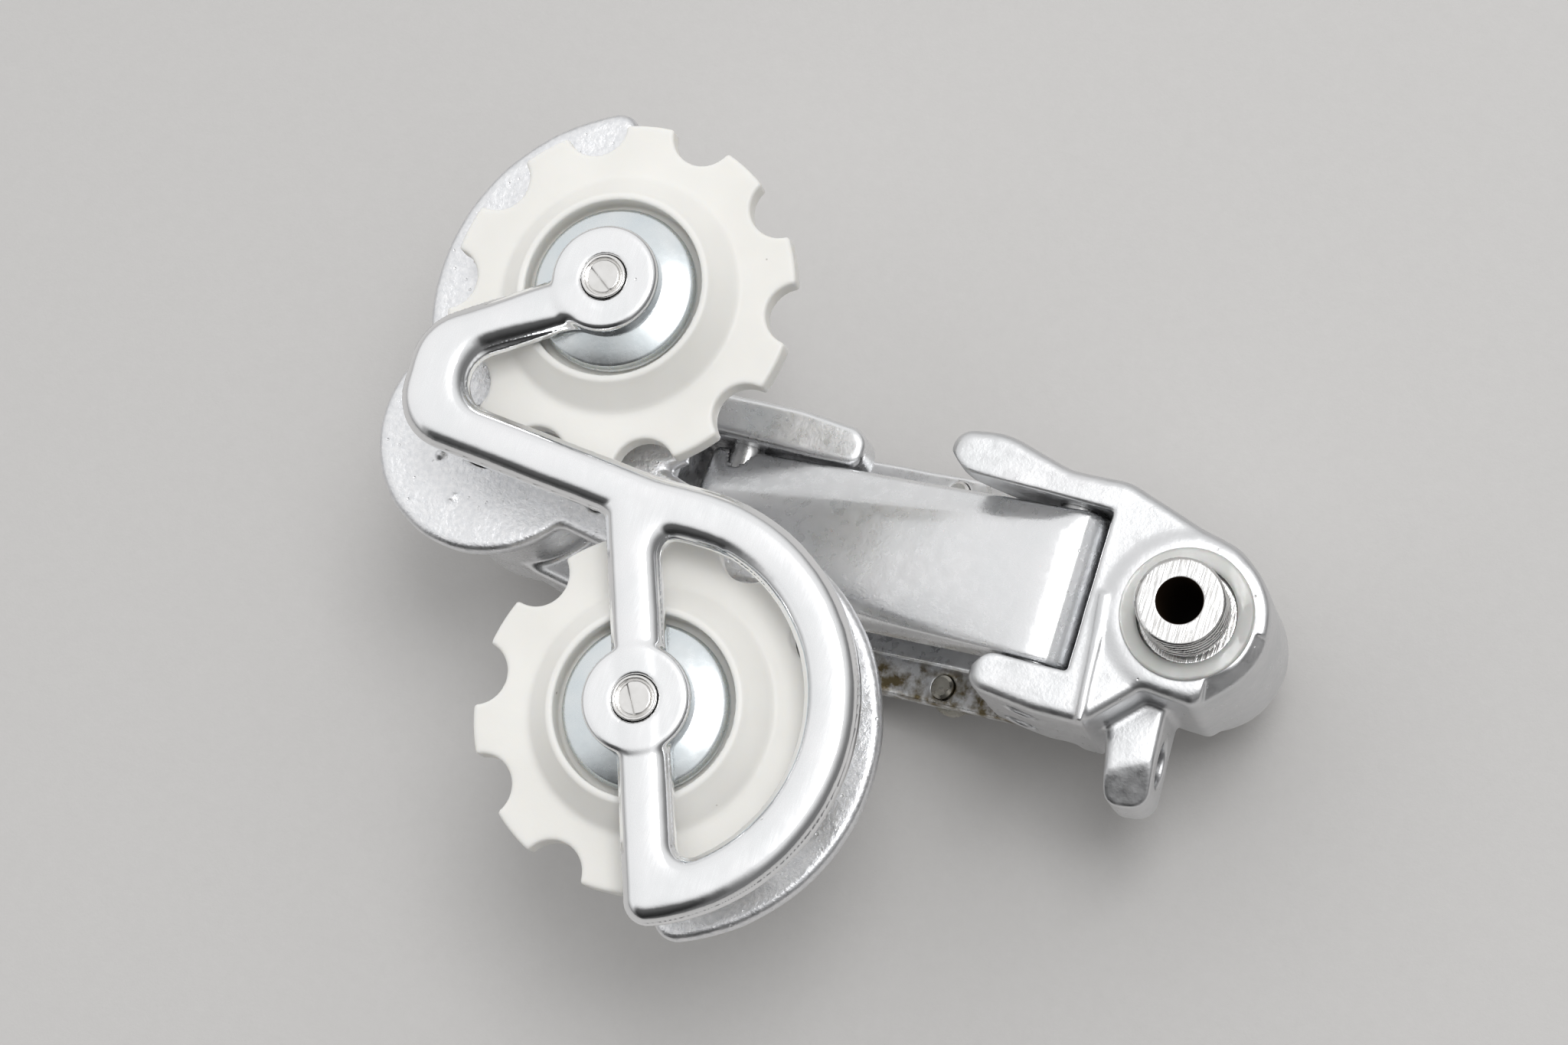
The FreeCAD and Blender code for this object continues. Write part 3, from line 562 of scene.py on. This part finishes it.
CAST = cast_aluminium("cast_aluminium", (0.82, 0.83, 0.84), (0.87, 0.87, 0.88), 0.23, 0.36)
FORK = cast_aluminium("fork_aluminium", (0.67, 0.68, 0.69), (0.73, 0.73, 0.74), 0.27, 0.42)
STAINED = greasy_aluminium()
GRAINY = grainy_aluminium()
POLISHED = polished_aluminium()
ZINC = zinc_plate()
CHROME = scratched_chrome()
NYLON = pulley_nylon()
CLEAR = clear_nylon()
BOLT = steel("bolt_steel", (0.76, 0.75, 0.73), (0.86, 0.85, 0.84), 0.14, 0.26, 0.012)
PIN = steel("pin_steel", (0.52, 0.52, 0.52), (0.70, 0.70, 0.70), 0.22, 0.40)
SPRING = steel("spring_steel", (0.22, 0.21, 0.20), (0.40, 0.39, 0.37), 0.28, 0.45)
BRONZE = steel("bronze", (0.40, 0.26, 0.13), (0.55, 0.37, 0.20), 0.35, 0.55)
GREASY = steel("greasy_steel", (0.38, 0.36, 0.31), (0.58, 0.56, 0.50), 0.22, 0.45, 0.03)


# ---------------------------------------------------------------- cage plates

STRUT_ACROSS = STRUT_ANGLE + math.pi / 2
STRUT_LEFT = 2.7
STRUT_RIGHT = 3.25
EYE = 6.05
LOOP_INNER = 18.1


def loop(x, y, outer, inner, foot=2.6, corner=2.2):
    """D-shaped ring about the tension pulley with the strut as its straight side."""
    level = -beyond(x, y, TENSION, STRUT_ACROSS)
    ring = both(disc(x, y, TENSION, outer), level - STRUT_LEFT, foot)
    window = both(disc(x, y, TENSION, inner), level + STRUT_RIGHT, corner)
    return both(ring, -window, 0)


def inner_cage_plate():
    """Polished S-shaped arm that ends in the D loop."""
    low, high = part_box("inner_cage_plate")
    bottom, top = low.z / MM, high.z / MM
    block = Block((low.x / MM - 1, low.y / MM - 1, bottom - 0.6),
                  (high.x / MM + 1, high.y / MM + 1, top + 0.6))
    x, y, z = block.x, block.y, block.z
    gx, gy = GUIDE.x, GUIDE.y
    arm = outline(x, y, [
        (gx - 3.0, gy + 0.6, 0),
        (-88.5, 7.4, 7.0),
        (-88.0, -5.1, 6.4),
        (-58.0, -8.5, 0),
        (-47.0, -8.9, 0),
        (-46.0, -4.2, 0),
        (-52.8, -3.2, 0),
        (-88.0, 0.8, 3.4),
        (-72.4, 10.3, 0.8),
        (gx + 3.0, gy - 4.0, 0),
    ])
    lip = np.clip(1.2 - np.hypot(x + 79.3, y - 6.4) / 6.5, 0, 1)
    bars = join(loop(x, y, 24.1, LOOP_INNER), arm, 0.8)
    crown = 0.4 * np.clip(1 + bars / 3.0, 0, 1) ** 2 * (z > bottom + 1.5)
    bars = slab(bars, z + crown, bottom, top - 0.1, 1.8 + 0.8 * lip, 0.5)
    eyes = slab(join(disc(x, y, GUIDE, EYE), disc(x, y, TENSION, EYE)), z, bottom, top, 0.8, 0.4)
    bores = join(disc(x, y, GUIDE, 2.58), disc(x, y, TENSION, 2.58))
    field = cut(join(bars, eyes, 0.7), bores, 0.25)
    carved("inner_cage_plate", block, field, POLISHED, uneven=0.03, size=5.0)


def outer_cage_plate():
    """Pivot disc, fan behind the guide pulley and a second D loop."""
    low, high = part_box("outer_cage_plate")
    bottom, top = low.z / MM, high.z / MM
    block = Block((low.x / MM - 1, low.y / MM - 1, bottom - 0.6),
                  (high.x / MM + 1, high.y / MM + 1, top + 0.6))
    x, y, z = block.x, block.y, block.z
    fan = both(disc(x, y, GUIDE, 24.2), outline(x, y, [
        (-110.0, 14.0, 0),
        (-110.0, 60.0, 0),
        (GUIDE.x - 5.0, 60.0, 0),
        (GUIDE.x - 6.2, 38.0, 0),
        (-62.6, 21.0, 0),
        (-62.6, 14.0, 0),
        (-58.0, 2.0, 0),
        (-66.0, -4.0, 0),
        (-88.0, -2.0, 0),
    ]), 3.6)
    bar = outline(x, y, [
        (-74.0, -8.0, 0),
        (-56.0, -11.2, 0),
        (-44.0, -9.0, 0),
        (-44.0, -4.4, 0),
        (-50.0, -2.6, 0),
        (-64.6, 1.9, 0),
        (-74.0, 4.0, 0),
    ])
    flat = join(loop(x, y, 24.0, LOOP_INNER), bar, 0.8)
    flat = join(flat, join(fan, disc(x, y, PIVOT, 13.5), 1.0), 1.0)
    flat = join(flat, disc(x, y, TENSION, EYE), 1.0)
    bores = join(disc(x, y, GUIDE, 2.55), disc(x, y, TENSION, 2.55))
    bores = join(bores, join(disc(x, y, PIVOT, 3.8), disc(x, y, STOP_PIN, 1.65)))
    nub = np.sqrt((x + 86.1) ** 2 + (y + 4.3) ** 2 + (z - top) ** 2) - 0.55
    pimple = np.sqrt((x + 83.2) ** 2 + (y + 8.6) ** 2 + (4 * (z - top)) ** 2) - 0.7
    field = cut(slab(flat, z, bottom, top, 0.95, 0.5), bores, 0.25)
    field = join(field, join(nub, pimple * 0.5), 0.15)
    carved("outer_cage_plate", block, field, GRAINY, uneven=0.05, size=3.0)


# ---------------------------------------------------------------- pulleys

TEETH = 10
NOTCH_PLACE = 20.45
NOTCH_RADIUS = 3.55
PULLEY_BOLT = 2.49


def pulley(node, centre, first_notch):
    """Ten-tooth moulded jockey wheel with a stepped hub."""
    block = Block((-20.4, -20.4, -5.0), (20.4, 20.4, 5.0))
    x, y, z = block.x, block.y, block.z
    radius = np.hypot(x, y)
    field = outline(radius, z, [
        (4.05, 1.9, 0),
        (10.15, 1.9, 0.2),
        (10.15, 4.6, 0.15),
        (10.85, 4.6, 0.3),
        (11.4, 3.9, 0.6),
        (13.7, 1.4, 1.2),
        (20.0, 1.4, 0.35),
        (20.0, -1.4, 0.35),
        (13.7, -1.4, 1.2),
        (11.4, -3.9, 0.6),
        (10.85, -4.6, 0.3),
        (10.15, -4.6, 0.15),
        (10.15, -1.9, 0.2),
        (4.05, -1.9, 0),
    ])
    for tooth in range(TEETH):
        angle = math.radians(first_notch + 360 / TEETH * tooth)
        place = (NOTCH_PLACE * math.cos(angle), NOTCH_PLACE * math.sin(angle))
        roller = disc(x, y, place, NOTCH_RADIUS)
        field = cut(field, roller, 0.3)
    carved(node, block, field, NYLON, origin=centre)


def dust_cap(node, centre, side):
    """Domed pressed cap with a rolled rim."""
    lathe(node, [
        (2.55, 4.4, 0),
        (5.2, 4.4, 0.8),
        (8.6, 3.5, 0.6),
        (8.75, 2.6, 0),
        (9.28, 2.6, 0.2),
        (9.28, 4.0, 0.8),
        (7.6, 4.55, 1.6),
        (5.6, 5.2, 1.4),
        (2.55, 5.2, 0.15),
    ], centre, ZINC, side=side)


def pulley_bolt(node, centre, turn):
    """Bolt whose sheared end shows a flat facet and a raised crescent, with its head outboard."""
    low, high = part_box(node)
    end, head = high.z / MM, low.z / MM
    block = Block((-4.4, -4.4, head - 0.3), (4.4, 4.4, end + 0.3), 0.13)
    x, y, z = block.x, block.y, block.z
    radius = np.hypot(x, y)
    shank = both(radius - PULLEY_BOLT, z - end, 0.2)
    across, along = math.cos(turn), math.sin(turn)
    slope = z - end + 0.18 + 0.14 * np.tanh(9 * (x * across + y * along - 0.4))
    rim = both(both(radius - PULLEY_BOLT, 2.12 - radius, 0.1), z - end, 0.1)
    shank = join(both(shank, slope, 0.05), rim)
    shank = cut(shank, both(np.abs(radius - 1.98) - 0.12, end - 0.5 - z), 0.05)
    hat = both(both(radius - 4.2, z - 2.8, 0.2), head - z, 0.6)
    field = join(both(shank, 2.0 - z), hat, 0.1)
    socket = both(hexagon(x, y, 1.5), z - head - 1.8)
    field = cut(field, socket, 0.1)
    carved(node, block, field, BOLT, origin=(centre.x, centre.y, 0))


def hexagon(x, y, half):
    """Distance from a hexagon measured half across its flats."""
    sides = [np.abs(beyond(x, y, (0, 0), math.radians(60 * k))) - half for k in range(3)]
    return np.maximum(np.maximum(sides[0], sides[1]), sides[2])


# ---------------------------------------------------------------- mounting end

def mounting_bolt():
    """Hollow bolt with a cut thread, a filed end and a hexagon socket outboard."""
    low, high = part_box("mounting_bolt")
    end, head = high.z / MM, low.z / MM
    block = Block((-7.8, -7.8, head - 0.4), (7.8, 7.8, end + 0.4), 0.16)
    x, y, z = block.x, block.y, block.z
    radius = np.hypot(x, y)
    pitch = 1.0
    turned = (z - np.arctan2(y, x) / (2 * math.pi) * pitch) / pitch
    groove = 1 - 2 * np.abs(turned % 1 - 0.5)
    thread = both(radius - 5.0 + 0.5 * groove, both(1.0 - z, z - end), 0)
    thread = both(thread * 0.8, (radius - 4.82 + (z - end)) * 0.7, 0.08)
    thread = join(thread, both(radius - 4.4, np.abs(z - 0.5) - 1.0))
    journal = both(radius - 5.5, np.abs(z - (head + 4.0) / 2) + (head + 4.0) / 2, 0.1)
    hat = both(radius - 7.5, np.abs(z - head - 2.1) - 2.1, 0.8)
    field = join(join(thread, journal), hat)
    field = cut(field, radius - 2.5, 0.15)
    field = cut(field, both(hexagon(x, y, 3.0), z - head - 3.2), 0.1)
    carved("mounting_bolt", block, field, CHROME)


def hanger_washer():
    """Flat washer under the hanger."""
    lathe("hanger_washer", [
        (5.55, 0.0, 0.1),
        (7.37, 0.0, 0.2),
        (7.37, 1.0, 0.35),
        (5.55, 1.0, 0.2),
    ], (0, 0, 0), CLEAR)


def stop_arm(x, y, z):
    """Arm under the boss that holds the cable housing, its end sloping down."""
    arm = slab(outline(x, y, [
        (-7.9, -6.0, 0),
        (-4.6, -21.3, 1.6),
        (0.1, -20.6, 2.2),
        (-0.6, -6.0, 0),
    ]), z, -16.5, -6.5, 0.8, 0.8)
    fall = z + 6.5 - 0.45 * (y + 15.4 - 0.45 * x)
    return both(arm, fall * 0.9, 0.3)


def mounting_body():
    """Cast fork with the round boss, the housing stop arm and a raised casting ridge."""
    block = Block((-32.0, -22.4, -21.6), (9.8, 16.0, 0.8))
    x, y, z = block.x, block.y, block.z
    fork = slab(outline(x, y, [
        (-13.0, 7.0, 0),
        (-31.0, 7.0, 2.2),
        (-30.6, 14.2, 2.4),
        (-25.0, 15.0, 8.0),
        (-17.0, 12.7, 6.0),
        (-10.0, 12.9, 6.0),
        (4.4, 7.9, 3.0),
        (6.0, -5.5, 1.0),
        (3.2, -9.6, 1.2),
        (-2.6, -9.0, 1.6),
        (-8.0, -14.5, 0.3),
        (-13.5, -14.6, 8.0),
        (-21.6, -13.6, 2.0),
        (-21.6, -7.0, 1.2),
        (-13.0, -7.0, 0),
    ]), z, -18.6, 0.0, 1.2, 0.8)
    slot = outline(x, y, [
        (-11.0, 9.3, 0.4),
        (-28.6, 9.6, 3.0),
        (-31.4, 12.4, 0),
        (-40.0, 12.4, 0),
        (-40.0, -11.8, 0),
        (-22.0, -11.8, 0),
        (-20.0, -9.3, 2.4),
        (-11.0, -9.3, 0.4),
    ])
    boss = slab(disc(x, y, (0, 0), 9.0), z, -21.0, 0.0, 1.0, 0.8)
    below = outline(x, z, [
        (-33.0, -0.2, 0),
        (-27.6, -4.4, 4.0),
        (-22.4, -9.2, 4.0),
        (-21.2, -15.3, 2.6),
        (-17.4, -17.2, 1.5),
        (-11.3, -15.5, 0.8),
        (-10.4, -19.4, 0),
        (-10.4, -24.0, 0),
        (-33.0, -24.0, 0),
    ])
    ridge = slab(outline(x, y, [
        (-9.9, 0.2, 0.3),
        (-9.0, 0.0, 0.3),
        (-8.4, -4.0, 4.0),
        (-8.25, -8.0, 4.0),
        (-7.8, -14.3, 0),
        (-8.5, -14.3, 0),
        (-9.0, -8.0, 4.0),
        (-9.4, -4.0, 4.0),
    ]), z, -3.0, 0.3, 0.25)
    field = cut(fork, below, 0.7)
    field = join(field, boss, 1.2)
    field = cut(field, slot, 0.25)
    field = join(field, ridge, 0.5)
    field = join(field, stop_arm(x, y, z), 1.0)
    radius = np.hypot(x, y)
    shoulder = both(both(-(z + 1.1 * (radius - 7.6)) * 0.67, y + 0.2), 3.9 - x)
    field = cut(field, shoulder, 0.15)
    field = cut(field, disc(x, y, (0, 0), 5.6), 0.2)
    for pin in (UPPER_INNER, UPPER_OUTER):
        field = cut(field, np.hypot(x - pin.x, z - pin.z) - 2.0)
    stop = both(np.hypot(y + 15.0, z + 11.5) - 2.6, -4.4 - x + 0 * y)
    field = cut(field, stop, 0.3)
    carved("mounting_body", block, field, FORK, uneven=0.06, size=4.0)


# ---------------------------------------------------------------- links

def inner_link():
    """Cast channel whose face tapers towards the cage."""
    length, barrel, half = LINK_LENGTH, 4.2, 8.9
    block = Block((-length - 5, -9.4, -5), (5, 9.4, 5))
    x, y, z = block.x, block.y, block.z
    side = outline(x, z, [
        (barrel, barrel, barrel - 0.2),
        (barrel, -barrel, barrel - 0.2),
        (-1.0, -barrel, 3.1),
        (-5.0, -1.6, 1.0),
        (5.0 - length, -1.6, 1.0),
        (1.0 - length, -barrel, 3.1),
        (-length - barrel, -barrel, barrel - 0.2),
        (-length - barrel, barrel, barrel - 0.2),
    ])
    body = both(side, np.abs(y) - half, 0.8)
    crown = 4.4 * (np.hypot(np.clip(x + 2.4, 0, None) / 6.6, np.clip(z + 0.2, 0, None) / 4.4) - 1)
    crown = crown - 0.12 * np.exp(-(((x - 2.6) / 0.25) ** 2)) * (z > 0)
    upper = (y - 6.6 - 0.085 * x) * 0.42 + (z - barrel + 0.3) * 0.91
    lower = (-y - 9.2 - 0.085 * x) * 0.80 + (z - barrel) * 0.60
    body = both(body, crown, 0.6)
    body = both(body, upper, 0.6)
    body = both(body, lower, 0.8)
    hollow = both(outline(x, z, [
        (-5.4, 1.9, 1.0),
        (-5.4, -barrel - 1, 0),
        (5.4 - length, -barrel - 1, 0),
        (5.4 - length, 1.9, 1.0),
    ]), np.abs(y) - 7.0, 1.0)
    field = cut(body, hollow, 0.3)
    for pin in (0, -length):
        field = cut(field, np.hypot(x - pin, z) - 2.05)
    carved("inner_link", block, field, CAST, tilt=LINK_TILT, origin=UPPER_INNER, uneven=0.045, size=6.0)


def outer_link():
    """Ribbed cover plate with an ear at each corner and flanges for the screws."""
    length, drop, flange, half = LINK_LENGTH, 4.3, 2.6, 13.5
    block = Block((-length - 5, -20.6, -7.4), (5, 14.0, 4.6))
    x, y, z = block.x, block.y, block.z
    plate = slab(outline(x, y, [
        (3.0, half - 3, 1.0),
        (0.4, half, 2.0),
        (-length - 0.4, half, 2.0),
        (-length - 3.0, half - 3, 1.0),
        (-length - 3.0, 3 - half, 1.0),
        (-length - 0.4, -half, 2.0),
        (-40.5, -half, 1.0),
        (-38.5, -20.0, 3.0),
        (-29.5, -20.0, 3.0),
        (-27.5, -half, 1.0),
        (0.4, -half, 2.0),
        (3.0, 3 - half, 1.0),
    ]), z, -drop - flange, -drop, 0.5, 0.8)
    recess = slab(outline(x, y, [
        (-5.0, 8.9, 1.5),
        (5.0 - length, 8.9, 1.5),
        (5.0 - length, -8.9, 1.5),
        (-5.0, -8.9, 1.5),
    ]), z, -drop - flange + 1.5, 2.0, 0.5)
    ears = None
    for pin in (0, -length):
        ear = outline(x - pin, z, [
            (-3.0, -drop - flange / 2, 0),
            (-4.0, -1.0, 2.0),
            (-4.0, 4.0, 3.99),
            (4.0, 4.0, 3.99),
            (4.0, -1.0, 2.0),
            (3.0, -drop - flange / 2, 0),
        ])
        ears = ear if ears is None else join(ears, ear)
    ears = both(ears, np.abs(np.abs(y) - 7.25) - 1.65, 0.3)
    field = join(cut(plate, recess, 0.3), ears, 0.5)
    for pin in (0, -length):
        field = cut(field, np.hypot(x - pin, z) - 2.05)
    for hole, radius in (((-18.6, 11.4), 1.45), ((-13.2, -11.4), 1.45), ((-34.0, -16.3), 2.5)):
        field = cut(field, disc(x, y, hole, radius), 0.1)
    carved("outer_link", block, field, STAINED, tilt=LINK_TILT, origin=UPPER_OUTER, uneven=0.05, size=4.0)


# ---------------------------------------------------------------- lower knuckle

def lower_knuckle():
    """Cast block with two arms, the lug and the round spring housing."""
    low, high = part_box("lower_knuckle")
    block = Block((low.x / MM - 0.8, low.y / MM - 0.8, low.z / MM - 0.8),
                  (high.x / MM + 0.8, high.y / MM + 0.8, high.z / MM + 0.8))
    x, y, z = block.x, block.y, block.z
    pin_x, pin_z = LOWER_OUTER.x, LOWER_OUTER.z
    crotch = pin_x - 4.6
    top = LOWER_INNER.z + 5.0
    arms = slab(outline(x, y, [
        (crotch, 9.3, 0.8),
        (-43.2, 9.3, 1.6),
        (-43.4, 13.8, 2.4),
        (-52.0, 14.5, 12.0),
        (-64.0, 14.2, 8.0),
        (-80.0, 9.8, 4.0),
        (-80.0, -11.4, 4.0),
        (-64.0, -14.4, 8.0),
        (-52.6, -14.0, 2.2),
        (-52.6, -9.3, 1.2),
        (crotch, -9.3, 0.8),
    ]), z, top - 18.6, top, 1.0, 0.8)
    under = outline(x, z, [
        (-42.0, pin_z + 7.6, 0),
        (pin_x + 9.0, pin_z + 3.6, 4.0),
        (pin_x + 3.9, pin_z - 2.4, 3.0),
        (pin_x - 0.4, pin_z - 4.0, 2.0),
        (pin_x - 6.4, pin_z - 0.1, 3.0),
        (pin_x - 12.4, pin_z + 3.4, 3.0),
        (pin_x - 24.0, pin_z + 3.4, 0),
        (pin_x - 24.0, pin_z - 12.0, 0),
        (-42.0, pin_z - 12.0, 0),
    ])
    field = cut(arms, under, 0.7)
    housing = slab(disc(x, y, PIVOT, 10.8), z, -22.0, 2.2, 0.6, 1.2)
    field = join(field, housing, 1.0)
    lug = slab(outline(x, y, [
        (-72.0, -2.4, 0),
        (-64.8, -2.4, 0.8),
        (-64.8, 2.4, 0.8),
        (-72.0, 2.4, 0),
    ]), z, -11.8, 2.2, 0.3)
    field = join(field, lug, 0.8)
    cavity = both(disc(x, y, PIVOT, 8.2), -18.4 - z, 0.6)
    field = cut(field, cavity, 0.2)
    field = cut(field, disc(x, y, PIVOT, 3.75))
    for pin in (LOWER_INNER, LOWER_OUTER):
        field = cut(field, np.hypot(x - pin.x, z - pin.z) - 2.0)
    carved("lower_knuckle", block, field, CAST, uneven=0.06, size=4.0)


# ---------------------------------------------------------------- frame nodes that stay

def repaint(node, finish, soften=0.0):
    """A CAD node keeps its shape and gets a better finish."""
    thing = frame["nodes"][node]
    thing.data.materials.clear()
    thing.data.materials.append(finish)
    if soften:
        bevel = thing.modifiers.new("soften", "BEVEL")
        bevel.width = soften * MM
        bevel.segments = 2
        bevel.limit_method = "ANGLE"
        bevel.angle_limit = math.radians(40)


# ---------------------------------------------------------------- table, lights and camera

TABLE_HALF = 4000.0
KEY_PLACE = (0.20, 0.19, 0.88)
KEY_AIM = (-0.045, -0.002, 0)
KEY_SIZE = (0.45, 0.36)
KEY_WATTS = 3.2
CAMERA_PLACE = (0.07167, -0.07550, 0.40327)
CAMERA_RIGHT = (0.93079, 0.29293, -0.21877)
CAMERA_UP = (-0.23870, 0.94016, 0.24323)
CAMERA_LENS = 87.89
SENSOR_WIDTH = 36.0


def table(level):
    """Pale paper sheet under the part."""
    finish = Finish("paper", Specular_IOR_Level=0.2)
    finish.feed("Base Color", finish.ramp(
        finish.grain(1.5, 5.0, 0.7), (0.2, (0.600, 0.590, 0.580)), (0.8, (0.625, 0.615, 0.605))))
    finish.feed("Roughness", finish.ramp(finish.grain(1.0), (0.3, 0.75), (0.7, 0.85)))
    finish.bump((finish.grain(0.6, 4.0, 0.7), 0.03))
    corners = [(x * TABLE_HALF, y * TABLE_HALF, level) for x, y in ((-1, -1), (1, -1), (1, 1), (-1, 1))]
    sheet = mesh_object("table", np.array(corners), np.array([[0, 1, 2, 3]]))
    sheet.data.materials.append(finish.material)


def soft_box(name, place, aim, size, watts):
    """Rectangular lamp at place, in metres, that faces aim."""
    light = bpy.data.lights.new(name, "AREA")
    light.shape = "RECTANGLE"
    light.size, light.size_y = size
    light.energy = watts
    lamp = bpy.data.objects.new(name, light)
    bpy.context.collection.objects.link(lamp)
    lamp.location = place
    lamp.rotation_euler = (Vector(aim) - Vector(place)).to_track_quat("-Z", "Y").to_euler()


def sky():
    """Soft dome: bright overhead, dim towards the horizon, dark on the camera's side."""
    world = bpy.data.worlds.new("sky")
    bpy.context.scene.world = world
    world.use_nodes = True
    nodes, links = world.node_tree.nodes, world.node_tree.links
    direction = nodes.new("ShaderNodeTexCoord")

    def lobe(axis, stops):
        """A value for each cosine of the angle to the axis."""
        toward = nodes.new("ShaderNodeVectorMath")
        toward.operation = "DOT_PRODUCT"
        toward.inputs[1].default_value = Vector(axis).normalized()
        links.new(direction.outputs["Generated"], toward.inputs[0])
        ramp = nodes.new("ShaderNodeValToRGB")
        while len(ramp.color_ramp.elements) < len(stops):
            ramp.color_ramp.elements.new(1)
        for element, (cosine, value) in zip(ramp.color_ramp.elements, stops):
            element.position = cosine
            element.color = (value, value, value, 1)
        links.new(toward.outputs["Value"], ramp.inputs["Fac"])
        return ramp.outputs["Color"]

    dome = lobe((-0.30, 0.25, 0.92), (
        (0.0, 0.18), (0.20, 0.32), (0.36, 0.56), (0.52, 0.79), (0.68, 0.88), (1.0, 0.92)))
    dark = lobe((-0.10, -0.82, 0.56), ((0.74, 1.0), (0.90, 0.12)))
    product = nodes.new("ShaderNodeVectorMath")
    product.operation = "MULTIPLY"
    links.new(dome, product.inputs[0])
    links.new(dark, product.inputs[1])
    links.new(product.outputs[0], nodes["Background"].inputs["Color"])


def studio(level):
    """Table, sky and one large key light overhead."""
    table(level)
    sky()
    soft_box("key", KEY_PLACE, KEY_AIM, KEY_SIZE, KEY_WATTS)
    bpy.context.scene.view_settings.view_transform = "Standard"


def camera():
    """Looks down at the part from the wheel's side."""
    data = bpy.data.cameras.new("camera")
    data.sensor_width = SENSOR_WIDTH
    data.lens = CAMERA_LENS
    data.clip_start = 0.01
    eye = bpy.data.objects.new("camera", data)
    bpy.context.collection.objects.link(eye)
    right, up = Vector(CAMERA_RIGHT), Vector(CAMERA_UP)
    back = right.cross(up)
    turn = Matrix((right, up, back)).transposed().to_4x4()
    eye.matrix_world = Matrix.Translation(Vector(CAMERA_PLACE)) @ turn
    bpy.context.scene.camera = eye


# ---------------------------------------------------------------- the whole scene

inner_cage_plate()
outer_cage_plate()
pulley("guide_pulley", GUIDE, 7.5)
pulley("tension_pulley", TENSION, 2.7)
for name, centre, turn in (("guide", GUIDE, -2.2), ("tension", TENSION, -2.6)):
    dust_cap(f"{name}_cap_inboard", centre, 1)
    dust_cap(f"{name}_cap_outboard", centre, -1)
    pulley_bolt(f"{name}_bolt", centre, turn)
    repaint(f"{name}_bush", BRONZE)
mounting_bolt()
hanger_washer()
mounting_body()
inner_link()
outer_link()
lower_knuckle()
for name in ("upper_inner_pin", "upper_outer_pin", "lower_inner_pin", "lower_outer_pin"):
    repaint(name, PIN, 0.2)
for name in ("return_spring", "cage_spring"):
    repaint(name, SPRING)
repaint("bolt_spring_washer", PIN, 0.1)
repaint("low_limit_screw", BOLT, 0.1)
repaint("high_limit_screw", GREASY, 0.1)
repaint("cable_clamp_washer", BOLT, 0.1)
repaint("cable_anchor_bolt", BOLT, 0.2)
repaint("cage_pivot_bolt", BOLT, 0.2)
repaint("cage_stop_pin", BOLT, 0.15)
studio(cad_low.z / MM)
camera()
